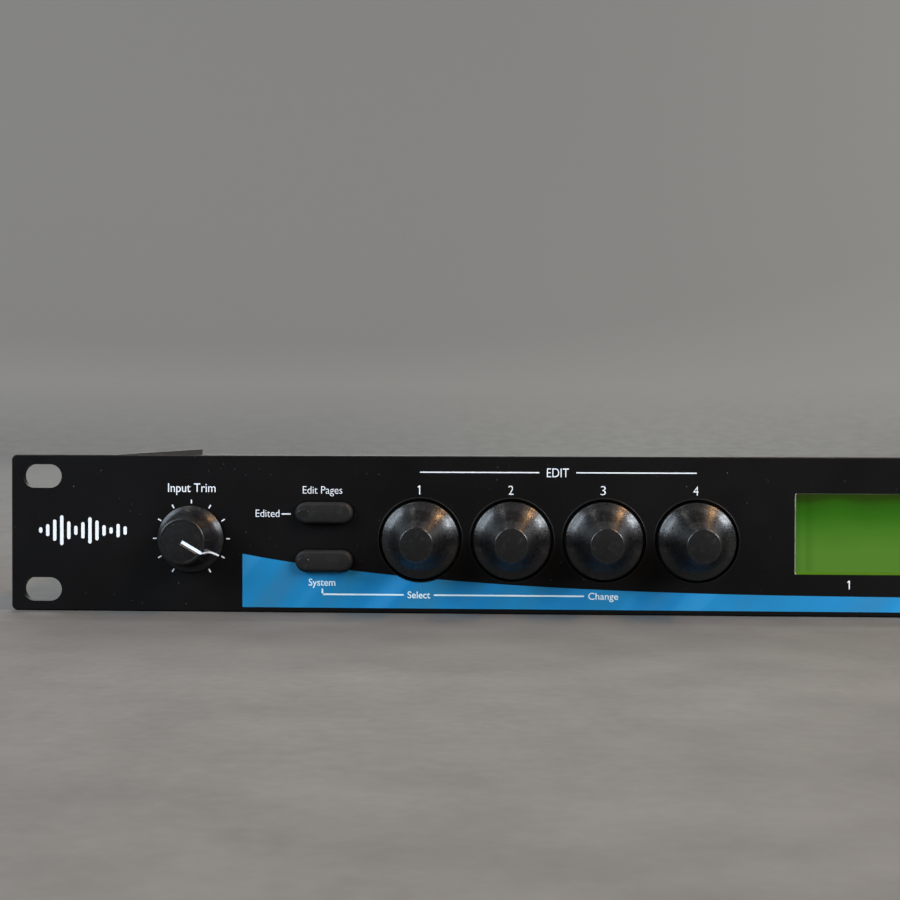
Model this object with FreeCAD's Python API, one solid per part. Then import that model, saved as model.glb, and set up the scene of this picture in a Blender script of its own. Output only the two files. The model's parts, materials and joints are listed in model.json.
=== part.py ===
"""A one-unit rack effects processor.

A slotted front panel with a display, knobs and keys stands on a folded steel chassis with rear sockets.
Lengths are in millimetres and +Z is up. X = 0 is the middle of the front panel and Z = 0 is the level
that the panel's lower edge and the chassis floor rest on. Shapes are drawn with Y = 0 on the panel's
front face and Y growing towards the rear. save() then moves them all back or forward together, so that
the origin is in the middle of the whole unit's depth.
"""

import FreeCAD, Part
import math
import os

V = FreeCAD.Vector
ACROSS = V(1, 0, 0)
REARWARD = V(0, 1, 0)
UP = V(0, 0, 1)

# front panel: a 19-inch rack panel one unit high
panel_width = 482.6
panel_height = 43.66
panel_thickness = 2.5
panel_corner = 1.5
panel_edge = 0.3
stud_radius = 1.5
stud_length = 6.5
stud_z = [8.0, 34.0]
stud_nut = (5.5, 2.4)
slot_spacing_x = 465.1
slot_spacing_z = 31.75
slot_length = 11.0
slot_height = 6.6
mid_z = panel_height / 2
far = 30.0  # how far a cutting tool runs past what it cuts

# chassis and cover, folded from sheet
sheet = 1.2
body_half_width = 219.0
rear_y = 141.5
wall_top = 43.35
cover_top = 41.3
inner_half_width = body_half_width - sheet
rear_inner_y = rear_y - sheet
cover_underside = cover_top - sheet
flange_width = 12.0
fold_radius = 1.0
side_screw_y = [26.0, 72.0, 118.0]
side_screw_z = 35.8
rear_screw_x = [-206.0, -5.0, 206.0]
rear_screw_z = 36.0
clearance_radius = 1.6
cover_gap = 0.2
cover_lip = 8.0
cover_lip_y = (8.0, 136.0)
rear_lip_half_width = 212.0
rear_lip_height = 6.5
cover_front_y = panel_thickness + cover_gap
vent_length = 24.0
vent_width = 2.6
vent_pitch = 6.0
vent_count = 18
vent_first_x = 88.0
vent_rows_y = [42.0, 78.0]

# controls on the panel
control_z = 20.4
trim_x = -190.3
edit_x = [-126.2 + 25.4 * i for i in range(4)]
program_x = 129.7
knob_hole_radius = 11.75
trim_hole_radius = 5.0
shaft_radius = 3.0
bore_radius = 3.02
bearing_radius = 3.05
encoder_width = 12.5
potentiometer_size = (11.0, 12.0)
control_body_y = 3.4
shaft_end_gap = 0.5
key_z = [27.85, 14.5]
key_columns = [-152.9, 101.7, 157.7]
key_names = [["key_edit_pages", "key_system"], ["key_load", "key_store"], ["key_tap", "key_bypass"]]
key_length = 16.05
key_height = 6.05
key_reach = 2.6
key_hole_gap = 0.25
key_led_x = -5.5
key_led_radius = 1.5
key_led_tip_y = -1.1

# edit and program knobs
rim_radius = 10.7
knob_reach = 17.0
rim_front_y = -1.0
rim_rear_y = 0.8
boss_base_radius = 5.4
boss_front_radius = 4.6
boss_bevel = 0.35
rim_bevel = 0.25
pocket_radii = (4.6, 9.6)
pocket_y = -0.3
boss_base_y = -11.0
knob_bore_y = -14.0

# trim knob
trim_base_radius = 9.25
trim_front_radius = 6.15
trim_base_y = -0.7
trim_reach = 12.3
trim_bore_y = -9.5
trim_skirt_y = -1.3
trim_dish = 0.15
trim_edge = 0.3

# display
display_left = -23.45
display_width = 88.0
display_bottom = 11.43
display_height = 22.45
display_corner = 0.8
display_mid_x = display_left + display_width / 2
display_mid_z = display_bottom + display_height / 2
window_gap = 0.2
window_front_y = 0.2
window_flange = 4.0
window_flange_y = 3.5
gasket_rear_y = 4.5
glass_thickness = 2.8
backlight_thickness = 3.5
bezel_width = 96.0
bezel_height = 30.0
lcd_board_width = 108.0
lcd_board_height = 34.0
lcd_board_bottom = 5.5

# level meter
meter_x = [79.5, 84.5]
meter_z = [33.2 - 5.2 * i for i in range(5)]
meter_led_radius = 1.1
meter_hole_radius = 1.2
meter_led_tip_y = -0.3

# power switch
switch_x = 197.7
switch_width = 12.8
switch_height = 19.0
switch_bezel_width = 15.0
switch_bezel_height = 21.0
switch_bezel_y = -1.5
switch_cavity_half = 9.0
rocker_width = 10.4
rocker_radius = 8.7
rocker_pivot_y = 3.0
rocker_tilt = 8.0
pivot_pin_radius = 1.25
pivot_hole_radius = 1.3
switch_case_rear = 19.0
switch_cavity_rear = 13.5
switch_tag = (6.3, 0.8, 7.0)
switch_tag_z = 6.0
rocker_gap = 0.3

# circuit boards
board_thickness = 1.6
control_board_y = 8.5
control_board_bottom = 2.5
control_board_top = 39.0
main_board_z = 8.0
spacer_radius = 2.5
screw_radius = 1.45
screw_hole_radius = 1.5
screw_head_radius = 2.8
screw_head_height = 1.6
screw_crown = 0.6
screw_recess_radius = 0.9
screw_recess_depth = 0.9
cover_screw_length = 4.0
board_screw_length = 5.0
inlet_screw_length = 6.0
midi_screw_length = 4.0

# rear sockets
socket_z = 20.5
inlet_x = 180.0
midi_x = [96.0, 66.0]
phono_x = [32.0, 12.0]
jack_x = [-22.0, -62.0, -90.0, -130.0, -158.0]
jack_bore_radius = 3.25
jack_bore_length = 26.0
jack_nose_radius = 4.5
jack_nose_reach = 4.0
jack_nut_width = 12.0
jack_nut_height = 2.2
phono_radius = 4.15
phono_reach = 9.0
phono_collar_radius = 5.0
phono_collar_reach = 0.6
phono_core_radius = 3.3
phono_contact_radius = 1.6
inlet_width = 24.4
inlet_height = 16.4
inlet_depth = 16.5
inlet_flange = 3.0
inlet_flange_size = (48.0, 24.0)
inlet_wall = 1.9
inlet_screw_spacing = 40.0
midi_nose_radius = 7.6
midi_well_radius = 6.8
midi_insert_radius = 5.6
midi_well_depth = 9.0
midi_nose_reach = 1.0
midi_pin_circle = 3.75
midi_pin_radius = 0.8
midi_screw_spacing = 22.3

overall_front = -knob_reach
overall_rear = rear_y + phono_reach
depth_shift = -(overall_front + overall_rear) / 2


# ---- helpers ----------------------------------------------------------------------------------------

def block(x0, x1, y0, y1, z0, z1):
    """A box between two opposite corners."""
    return Part.makeBox(x1 - x0, y1 - y0, z1 - z0, V(x0, y0, z0))


def block_at(x, z, width, height, y0, y1):
    """A box centred on a point of the panel plane."""
    return block(x - width / 2, x + width / 2, y0, y1, z - height / 2, z + height / 2)


def rod(x, z, radius, y0, y1):
    """A cylinder that runs front to back."""
    return Part.makeCylinder(radius, y1 - y0, V(x, y0, z), REARWARD)


def post(x, y, radius, z0, z1):
    """An upright cylinder."""
    return Part.makeCylinder(radius, z1 - z0, V(x, y, z0), UP)


def stadium(x, z, length, height, y0, y1):
    """A bar with round ends, lying across the panel."""
    r = height / 2
    half = length / 2 - r
    middle = block(x - half, x + half, y0, y1, z - r, z + r)
    ends = [rod(x - half, z, r, y0, y1), rod(x + half, z, r, y0, y1)]
    return middle.fuse(ends).removeSplitter()


def turned(x, z, outline):
    """A body of revolution about a front-to-back axis. The outline is a closed list of edges in X and Y."""
    face = Part.Face(Part.Wire(outline))
    body = face.revolve(V(0, 0, 0), REARWARD, 360)
    body.translate(V(x, 0, z))
    return body


def edges_along_y(shape):
    return [e for e in shape.Edges if abs(e.tangentAt(0).y) > 0.99]


def edges_along_z(shape):
    return [e for e in shape.Edges if abs(e.tangentAt(0).z) > 0.99]


def lines(points):
    """Straight edges through a list of (radius, y) points."""
    made = []
    for a, b in zip(points, points[1:]):
        made.append(Part.LineSegment(V(a[0], a[1], 0), V(b[0], b[1], 0)).toShape())
    return made


def group(shapes):
    """Separate solids that share one node."""
    return Part.makeCompound(shapes)


def screw(head_at, direction, length):
    """A round-headed screw whose head sits on the point head_at and whose shank runs along direction."""
    head = Part.makeCylinder(screw_head_radius, screw_head_height, head_at, direction * -1)
    crown = [e for e in head.Edges if e.BoundBox.Center.distanceToPoint(head_at) > 0.9 * screw_head_height]
    head = head.makeFillet(screw_crown, [crown[0]])
    shank = Part.makeCylinder(screw_radius, length, head_at, direction)
    recess_floor = head_at - direction * (screw_head_height - screw_recess_depth)
    recess = Part.makeCylinder(screw_recess_radius, screw_recess_depth + 1, recess_floor, direction * -1)
    return head.fuse(shank).removeSplitter().cut(recess)


def save(name, shape):
    """Moves the shape into the unit's own frame and writes its STEP file."""
    moved = shape.copy()
    moved.translate(V(0, depth_shift, 0))
    moved.exportStep(os.path.join("parts", name + ".step"))


# ---- front panel ------------------------------------------------------------------------------------

def make_front_panel():
    plate = block(-panel_width / 2, panel_width / 2, 0, panel_thickness, 0, panel_height)
    plate = plate.makeFillet(panel_corner, edges_along_y(plate))
    front_rim = [e for e in plate.Edges if e.BoundBox.YMax < 1e-4]
    plate = plate.makeChamfer(panel_edge, front_rim)
    through = (-far, far)
    cuts = []
    for sx in (-1, 1):
        for sz in (-1, 1):
            x = sx * slot_spacing_x / 2
            z = mid_z + sz * slot_spacing_z / 2
            cuts.append(stadium(x, z, slot_length, slot_height, *through))
    for x in edit_x + [program_x]:
        cuts.append(rod(x, control_z, knob_hole_radius, *through))
    cuts.append(rod(trim_x, control_z, trim_hole_radius, *through))
    key_hole = (key_length + 2 * key_hole_gap, key_height + 2 * key_hole_gap)
    cuts += [stadium(x, z, *key_hole, *through) for x in key_columns for z in key_z]
    opening = block_at(display_mid_x, display_mid_z, display_width, display_height, *through)
    cuts.append(opening.makeFillet(display_corner, edges_along_y(opening)))
    cuts += [rod(x, z, meter_hole_radius, *through) for x in meter_x for z in meter_z]
    cuts.append(block_at(switch_x, mid_z, switch_width + 0.2, switch_height + 0.2, *through))
    return plate.cut(cuts)


def stud_places():
    x = inner_half_width - flange_width / 2
    return [(sx * x, z) for sx in (-1, 1) for z in stud_z]


def make_panel_studs():
    tip = panel_thickness + stud_length
    return group([rod(x, z, stud_radius, panel_thickness, tip) for x, z in stud_places()])


def hexagon(x, z, across_flats, bore, y0, y1):
    """A hexagon nut whose axis runs front to back."""
    r = across_flats / math.sqrt(3)
    turns = [i * math.pi / 3 for i in range(6)]
    corners = [V(x + r * math.cos(a), y0, z + r * math.sin(a)) for a in turns]
    face = Part.Face(Part.makePolygon(corners + [corners[0]]))
    return face.extrude(V(0, y1 - y0, 0)).cut(rod(x, z, bore, y0 - 1, y1 + 1))


def make_panel_nuts():
    width, height = stud_nut
    y0 = panel_thickness + sheet
    return group([hexagon(x, z, width, stud_radius + 0.02, y0, y0 + height) for x, z in stud_places()])


# ---- chassis and cover ------------------------------------------------------------------------------

def make_chassis():
    floor = block(-body_half_width, body_half_width, panel_thickness, rear_y, 0, sheet)
    rear = block(-body_half_width, body_half_width, rear_inner_y, rear_y, 0, cover_underside)
    parts = [rear]
    for s in (-1, 1):
        outer, inner = s * body_half_width, s * inner_half_width
        tip = s * (inner_half_width - flange_width)
        parts.append(block(min(outer, inner), max(outer, inner), panel_thickness, rear_y, 0, wall_top))
        front = (panel_thickness, panel_thickness + sheet)
        parts.append(block(min(inner, tip), max(inner, tip), *front, 0, cover_underside - 1.0))
    tray = floor.fuse(parts).removeSplitter()
    long_edges = [e for e in tray.Edges
                  if e.Length > 100 and abs(e.tangentAt(0).y) > 0.99
                  and abs(abs(e.BoundBox.Center.x) - body_half_width) < 0.01 and e.BoundBox.Center.z < 0.01]
    tray = tray.makeFillet(fold_radius, long_edges)
    front_flanges = (panel_thickness - 1, panel_thickness + sheet + 1)
    cuts = [rod(x, z, clearance_radius, *front_flanges) for x, z in stud_places()]
    for y in side_screw_y:
        for s in (-1, 1):
            start = V(s * (inner_half_width - 1), y, side_screw_z)
            cuts.append(Part.makeCylinder(clearance_radius, sheet + 2, start, ACROSS * s))
    through = (rear_inner_y - 1, rear_y + 1)
    cuts += [rod(x, rear_screw_z, clearance_radius, *through) for x in rear_screw_x]
    gap = 0.2
    inlet_hole = (inlet_width + 2 * (inlet_wall + gap), inlet_height + 2 * (inlet_wall + gap))
    cuts.append(block_at(inlet_x, socket_z, *inlet_hole, *through))
    cuts += [rod(x, socket_z, screw_hole_radius, *through) for x in inlet_screw_x() + midi_screw_x()]
    cuts += [rod(x, socket_z, midi_nose_radius + gap, *through) for x in midi_x]
    cuts += [rod(x, socket_z, phono_collar_radius + gap, *through) for x in phono_x]
    cuts += [rod(x, socket_z, jack_nose_radius + gap, *through) for x in jack_x]
    return tray.cut(cuts)


def make_top_cover():
    half = inner_half_width - cover_gap
    top = block(-half, half, cover_front_y, rear_y, cover_underside, cover_top)
    lips = []
    for s in (-1, 1):
        a, b = s * half, s * (half - sheet)
        lip_bottom = cover_underside - cover_lip
        lips.append(block(min(a, b), max(a, b), *cover_lip_y, lip_bottom, cover_underside))
    lip_y = rear_inner_y - cover_gap
    lip_half, lip_bottom = rear_lip_half_width, cover_underside - rear_lip_height
    lips.append(block(-lip_half, lip_half, lip_y - sheet, lip_y, lip_bottom, cover_underside))
    cover = top.fuse(lips).removeSplitter()
    cuts = []
    for y in side_screw_y:
        for s in (-1, 1):
            start = V(s * (half - sheet - 1), y, side_screw_z)
            cuts.append(Part.makeCylinder(screw_hole_radius, sheet + 2, start, ACROSS * s))
    cuts += [rod(x, rear_screw_z, screw_hole_radius, lip_y - 3, lip_y + 1) for x in rear_screw_x]
    return cover.cut(cuts + vent_slots())


def vent_slots():
    """Two rows of round-ended slots above the power supply."""
    slots = []
    for front in vent_rows_y:
        for i in range(vent_count):
            left = vent_first_x + vent_pitch * i - vent_width / 2
            slot = block(left, left + vent_width, front, front + vent_length,
                         cover_underside - 1, cover_top + 1)
            slots.append(slot.makeFillet(vent_width / 2 - 0.05, edges_along_z(slot)))
    return slots


def make_cover_screws():
    made = []
    for y in side_screw_y:
        for s in (-1, 1):
            made.append(screw(V(s * body_half_width, y, side_screw_z), ACROSS * -s, cover_screw_length))
    for x in rear_screw_x:
        made.append(screw(V(x, rear_y, rear_screw_z), REARWARD * -1, cover_screw_length))
    return group(made)


# ---- knobs, shafts and their electrical parts -------------------------------------------------------

def make_edit_knob(x):
    """A wide thin rim that flares up like a trumpet into a slim boss, hollow round its hub at the rear."""
    flare_start = (rim_radius - rim_bevel, rim_front_y - rim_bevel)
    rim = lines([(bore_radius, rim_rear_y), (rim_radius, rim_rear_y), (rim_radius, rim_front_y), flare_start])
    flare = Part.BSplineCurve()
    flare.interpolate([V(*flare_start, 0), V(8.5, -2.35, 0), V(6.85, -4.8, 0), V(5.8, -7.9, 0),
                       V(boss_base_radius, boss_base_y, 0)])
    boss = lines([(boss_base_radius, boss_base_y), (boss_front_radius, -knob_reach + boss_bevel),
                  (boss_front_radius - boss_bevel, -knob_reach), (0, -knob_reach), (0, knob_bore_y),
                  (bore_radius, knob_bore_y), (bore_radius, rim_rear_y)])
    knob = turned(x, control_z, rim + [flare.toShape()] + boss)
    hub_radius, hollow_radius = pocket_radii
    pocket = rod(x, control_z, hollow_radius, pocket_y, rim_rear_y + 1)
    return knob.cut(pocket.cut(rod(x, control_z, hub_radius, pocket_y - 1, rim_rear_y + 2)))


def make_edit_shaft(x):
    return rod(x, control_z, shaft_radius, knob_bore_y, control_board_y - shaft_end_gap)


def make_trim_knob():
    """A slim drum that flares out at its base, with a shallow dish in its front face."""
    flank_end = (trim_front_radius + trim_edge / 2, -trim_reach + trim_edge)
    flank = Part.BSplineCurve()
    flank.interpolate([V(trim_base_radius, trim_skirt_y, 0), V(7.9, -2.3, 0), V(6.95, -4.2, 0),
                       V(6.6, -7.4, 0), V(*flank_end, 0)])
    foot = lines([(bore_radius, trim_base_y), (trim_base_radius, trim_base_y),
                  (trim_base_radius, trim_skirt_y)])
    dish_y = -trim_reach + trim_dish
    dish_radius = trim_front_radius - 0.75
    front = lines([flank_end, (trim_front_radius - trim_edge, -trim_reach), (dish_radius + 0.2, -trim_reach),
                   (dish_radius, dish_y), (0, dish_y), (0, trim_bore_y), (bore_radius, trim_bore_y),
                   (bore_radius, trim_base_y)])
    return turned(trim_x, control_z, foot + [flank.toShape()] + front)


def make_encoder_bodies():
    return group([shaft_housing(x, encoder_width, encoder_width) for x in edit_x + [program_x]])


def make_trim_potentiometer():
    return shaft_housing(trim_x, *potentiometer_size)


def shaft_housing(x, width, height):
    """A square case with a bearing right through it, between the panel and the control board."""
    case = block_at(x, control_z, width, height, control_body_y, control_board_y)
    return case.cut(rod(x, control_z, bearing_radius, control_body_y - 1, control_board_y + 1))


# ---- keys -------------------------------------------------------------------------------------------

key_flange_y = panel_thickness + 0.1
key_flange = 1.0
key_contact_y = 7.2
key_crown = 0.9


def make_key(x, z):
    cap = stadium(x, z, key_length, key_height, -key_reach, key_flange_y)
    crown = [e for e in cap.Edges if e.BoundBox.YMax < -key_reach + 0.01]
    cap = cap.makeFillet(key_crown, crown)
    flange_rear = key_flange_y + key_flange
    flange = stadium(x, z, key_length + 1.6, key_height + 1.6, key_flange_y, flange_rear)
    contact = block_at(x + 2.0, z, 9.0, 3.6, flange_rear, key_contact_y)
    light_hole = rod(x + key_led_x, z, key_led_radius + 0.25, -key_reach - 1, key_contact_y + 1)
    return cap.fuse([flange, contact]).removeSplitter().cut(light_hole)


def make_keypad_mats():
    """Under each pair of keys, a mat with an oval collar round each key's rear end."""
    collar_y, foot_y = 4.9, control_board_y - 1.2
    mats = []
    for x in key_columns:
        mat = block_at(x, sum(key_z) / 2, 24.0, 25.5, foot_y, control_board_y)
        collars = [key_oval(x, z, 3.0, collar_y, foot_y) for z in key_z]
        wells = [key_oval(x, z, 1.0, collar_y - 1, foot_y) for z in key_z]
        feet = [key_oval(x, z, -0.4, foot_y - 1, control_board_y + 1) for z in key_z]
        mats.append(mat.fuse(collars).cut(wells).cut(feet))
    return group(mats)


def key_oval(x, z, larger, y0, y1):
    """A bar of a key's outline, made larger all round."""
    return stadium(x, z, key_length + larger, key_height + larger, y0, y1)


def light(x, z, radius, tip_y):
    """A small round lamp that stands on a control board, with a domed front."""
    stem = rod(x, z, radius, tip_y + radius, control_board_y)
    dome = Part.makeSphere(radius, V(x, tip_y + radius, z))
    return stem.fuse(dome).removeSplitter()


def make_key_leds():
    places = [(x + key_led_x, z) for x in key_columns for z in key_z]
    return group([light(x, z, key_led_radius, key_led_tip_y) for x, z in places])


def make_meter_leds():
    return group([light(x, z, meter_led_radius, meter_led_tip_y) for x in meter_x for z in meter_z])


# ---- display ----------------------------------------------------------------------------------------

bezel_front_y = gasket_rear_y
bezel_sheet = 0.5
glass_y = bezel_front_y + bezel_sheet
backlight_y = glass_y + glass_thickness
lcd_board_y = backlight_y + backlight_thickness


def opening_block(larger, y0, y1):
    """A box of the display opening's outline, made larger all round."""
    width, height = display_width + larger, display_height + larger
    return block_at(display_mid_x, display_mid_z, width, height, y0, y1)


def bezel_block(smaller, y0, y1):
    """A box of the display bezel's outline, made smaller all round."""
    return block_at(display_mid_x, display_mid_z, bezel_width - smaller, bezel_height - smaller, y0, y1)


def make_display_window():
    boss = opening_block(-2 * window_gap, window_front_y, panel_thickness)
    boss = boss.makeFillet(display_corner, edges_along_y(boss))
    flange = opening_block(window_flange, panel_thickness, window_flange_y)
    return boss.fuse(flange).removeSplitter()


def make_display_gasket():
    outer = opening_block(window_flange, window_flange_y, gasket_rear_y)
    return outer.cut(opening_block(-1, window_flange_y - 1, gasket_rear_y + 1))


def make_lcd_bezel():
    shell = bezel_block(0, bezel_front_y, lcd_board_y)
    pocket = bezel_block(1, glass_y, lcd_board_y + 1)
    return shell.cut([pocket, opening_block(-1, bezel_front_y - 1, glass_y + 1)])


def make_lcd_glass():
    return bezel_block(3, glass_y, backlight_y)


def make_lcd_backlight():
    return bezel_block(4, backlight_y, lcd_board_y)


# ---- circuit boards, spacers and screws -------------------------------------------------------------

left_board = (-204.0, -36.0)
right_board = (76.0, 188.0)
spacer_z = [5.4, 36.2]
left_spacers = [(x, z) for x in (-199.5, -113.5, -40.0) for z in spacer_z]
right_spacers = [(x, z) for x in (87.0, 143.7, 178.0) for z in spacer_z]
lcd_spacer_half = lcd_board_width / 2 - 3
lcd_spacers = [(display_mid_x + s * lcd_spacer_half, z) for s in (-1, 1) for z in (8.6, 36.7)]
main_board = (-205.0, 112.0, 44.0, 139.0)
power_board = (122.0, 208.0, 62.0, 117.0)
main_spacers = [(x, y) for x in (-199.0, -20.0, 106.0) for y in (50.0, 112.0)]
power_spacers = [(x, y) for x in (127.0, 203.0) for y in (67.0, 112.0)]
board_top = main_board_z + board_thickness


def make_upright_board(x0, x1, y, z0, z1, places):
    rear = y + board_thickness
    board = block(x0, x1, y, rear, z0, z1)
    return board.cut([rod(x, z, screw_hole_radius, y - 1, rear + 1) for x, z in places])


def make_flat_board(area, places):
    x0, x1, y0, y1 = area
    board = block(x0, x1, y0, y1, main_board_z, board_top)
    return board.cut([post(x, y, screw_hole_radius, main_board_z - 1, board_top + 1) for x, y in places])


def make_board_spacers():
    """Tapped posts: each has a closed foot against the metal and a bore for its board's screw."""
    foot = 0.5
    made = []
    for places, rear in ((left_spacers + right_spacers, control_board_y), (lcd_spacers, lcd_board_y)):
        for x, z in places:
            sleeve = rod(x, z, spacer_radius, panel_thickness, rear)
            made.append(sleeve.cut(rod(x, z, screw_hole_radius, panel_thickness + foot, rear + 1)))
    for x, y in main_spacers + power_spacers:
        sleeve = post(x, y, spacer_radius, sheet, main_board_z)
        made.append(sleeve.cut(post(x, y, screw_hole_radius, sheet + foot, main_board_z + 1)))
    return group(made)


def make_board_screws():
    heads = [V(x, control_board_y + board_thickness, z) for x, z in left_spacers + right_spacers]
    heads += [V(x, lcd_board_y + board_thickness, z) for x, z in lcd_spacers]
    made = [screw(head, REARWARD * -1, board_screw_length) for head in heads]
    for x, y in main_spacers + power_spacers:
        made.append(screw(V(x, y, board_top), UP * -1, board_screw_length))
    return group(made)


def make_circuit_chips():
    """Chips on the main board, each given by its middle and its size across and deep."""
    height = 2.2
    places = [(-170, 70, 14, 14), (-140, 70, 20, 8), (-100, 78, 28, 28), (-58, 72, 20, 14), (-20, 70, 14, 14),
              (14, 74, 20, 8), (44, 74, 28, 14), (82, 72, 20, 14), (-170, 96, 10, 6), (-120, 102, 10, 6),
              (-78, 102, 10, 6), (20, 98, 14, 8)]
    made = []
    for x, y, wide, deep in places:
        across, along = (x - wide / 2, x + wide / 2), (y - deep / 2, y + deep / 2)
        made.append(block(*across, *along, board_top, board_top + height))
    return group(made)


def make_capacitors():
    large = [post(140 + 19 * i, 81, 8.0, board_top, board_top + 25) for i in range(3)]
    small = [post(-186 + 20 * i, 54, 3.2, board_top, board_top + 9) for i in range(6)]
    return group(large + small)


def make_heat_sink():
    left, right, front, back = 132.0, 196.0, 96.0, 98.5
    fin_rear, fin_width, fin_pitch, top = 107.0, 1.6, 8.7, board_top + 24
    fins = []
    for i in range(8):
        x = left + fin_pitch * i
        fins.append(block(x, x + fin_width, back, fin_rear, board_top, top))
    return block(left, right, front, back, board_top, top).fuse(fins).removeSplitter()


def make_mains_fuse():
    """A 20 mm cartridge fuse lying across the power board in two clips."""
    y, z, cap_length = 66.0, board_top + 4, 5.0
    parts = [Part.makeCylinder(2.6, 10.0, V(155.0, y, z), ACROSS)]
    for x in (150.0, 165.0):
        parts.append(Part.makeCylinder(3.0, cap_length, V(x, y, z), ACROSS))
        parts.append(block(x, x + cap_length, y - 1.5, y + 1.5, board_top, board_top + 2))
    return parts[0].fuse(parts[1:]).removeSplitter()


# ---- transformer ------------------------------------------------------------------------------------

transformer_x = 160.0
transformer_y = 38.0
core_width = 54.0
core_depth = 18.0
core_height = 34.0
limb = 9.0
window_height = 20.0
coil_gap = 0.3
coil_overhang = 8.0


def make_transformer_core():
    """A stack of sheet laminations with two windows, one each side of its middle limb."""
    core = around_transformer(core_width / 2, core_depth / 2, sheet, sheet + core_height)
    mid = sheet + core_height / 2
    windows = []
    for s in (-1, 1):
        a, b = sorted((transformer_x + s * limb, transformer_x + s * (core_width / 2 - limb)))
        windows.append(block(a, b, transformer_y - far, transformer_y + far,
                             mid - window_height / 2, mid + window_height / 2))
    return core.cut(windows)


def make_transformer_winding():
    """The coil round the middle limb, standing proud of the core at the front and rear."""
    mid = sheet + core_height / 2
    reach = window_height / 2 - coil_gap
    half_width, half_depth = core_width / 2 - limb - coil_gap, core_depth / 2 + coil_overhang
    coil = around_transformer(half_width, half_depth, mid - reach, mid + reach)
    coil = coil.makeFillet(5.0, edges_along_z(coil))
    return coil.cut(around_transformer(limb + 0.1, core_depth / 2 + 0.1, 0, far * 2))


def around_transformer(half_width, half_depth, z0, z1):
    x, y = transformer_x, transformer_y
    return block(x - half_width, x + half_width, y - half_depth, y + half_depth, z0, z1)


# ---- flat cable between the boards ------------------------------------------------------------------

cable_x = (-70.0, -38.0)
cable_thickness = 1.0
cable_bend = 10.0
header_rear_y = control_board_y + board_thickness + 6.0
header_top_z = board_top + 6.0
cable_top_z = 28.0
cable_down_y = 50.0
header_half = 4.0
header_overlap = 2.0


def make_ribbon_cable():
    """One flat strip that leaves the upright board rearwards and turns down to the main board."""
    x0, x1 = cable_x
    outer_r, inner_r = cable_bend + cable_thickness, cable_bend
    cy, cz = cable_down_y - outer_r, cable_top_z - outer_r
    run = block(x0, x1, header_rear_y, cy, cable_top_z - cable_thickness, cable_top_z)
    drop = block(x0, x1, cable_down_y - cable_thickness, cable_down_y, header_top_z, cz)
    tube = Part.makeCylinder(outer_r, x1 - x0, V(x0, cy, cz), ACROSS)
    tube = tube.cut(Part.makeCylinder(inner_r, x1 - x0, V(x0, cy, cz), ACROSS))
    bend = tube.common(block(x0, x1, cy, cy + far, cz, cz + far))
    return run.fuse([drop, bend]).removeSplitter()


def make_ribbon_headers():
    across = (cable_x[0] - header_overlap, cable_x[1] + header_overlap)
    z = cable_top_z - cable_thickness / 2
    board_rear = control_board_y + board_thickness
    upright = block(*across, board_rear, header_rear_y, z - header_half, z + header_half)
    y = cable_down_y - cable_thickness / 2
    flat = block(*across, y - header_half, y + header_half, board_top, header_top_z)
    return group([upright, flat])


# ---- power switch -----------------------------------------------------------------------------------

def make_power_switch_body():
    bezel = block_at(switch_x, mid_z, switch_bezel_width, switch_bezel_height, switch_bezel_y, 0)
    edges = [e for e in bezel.Edges if e.BoundBox.YMax < switch_bezel_y + 0.01]
    bezel = bezel.makeChamfer(0.5, edges)
    case = block_at(switch_x, mid_z, switch_width, switch_height, 0, switch_case_rear)
    mouth_size = (rocker_width + 2 * rocker_gap, 2 * rocker_radius - 0.7)
    mouth = block_at(switch_x, mid_z, *mouth_size, switch_bezel_y - 1, 0.5)
    cavity_size = (rocker_width + 2 * rocker_gap, 2 * switch_cavity_half)
    cavity = block_at(switch_x, mid_z, *cavity_size, 0, switch_cavity_rear)
    pin_start = V(switch_x - far, rocker_pivot_y, mid_z)
    pin_line = Part.makeCylinder(pivot_hole_radius, 2 * far, pin_start, ACROSS)
    wide, thick, long = switch_tag
    tag_y = (switch_case_rear, switch_case_rear + long)
    tags = [block_at(switch_x, mid_z + s * switch_tag_z, wide, thick, *tag_y) for s in (-1, 1)]
    return bezel.fuse([case] + tags).removeSplitter().cut([mouth, cavity, pin_line])


def make_power_rocker():
    """A drum on a pivot pin, cut to a front that dips in the middle and tilted to its off position."""
    x0 = switch_x - rocker_width / 2
    pivot = V(x0, rocker_pivot_y, mid_z)
    disc = Part.makeCylinder(rocker_radius, rocker_width, pivot, ACROSS)
    middle_y, end_y, back_y, half = -3.0, -4.15, 8.0, rocker_radius + 1
    outline = [V(x0, middle_y, mid_z), V(x0, end_y, mid_z + half), V(x0, back_y, mid_z + half),
               V(x0, back_y, mid_z - half), V(x0, end_y, mid_z - half), V(x0, middle_y, mid_z)]
    limit = Part.Face(Part.makePolygon(outline)).extrude(ACROSS * rocker_width)
    pin_length = switch_width - 2 * rocker_gap
    pin_start = V(switch_x - pin_length / 2, rocker_pivot_y, mid_z)
    pins = Part.makeCylinder(pivot_pin_radius, pin_length, pin_start, ACROSS)
    rocker = disc.common(limit).fuse(pins).removeSplitter()
    rocker.rotate(V(switch_x, rocker_pivot_y, mid_z), ACROSS, -rocker_tilt)
    return rocker


# ---- rear sockets -----------------------------------------------------------------------------------

inlet_mouth_y = rear_y + inlet_flange


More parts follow.
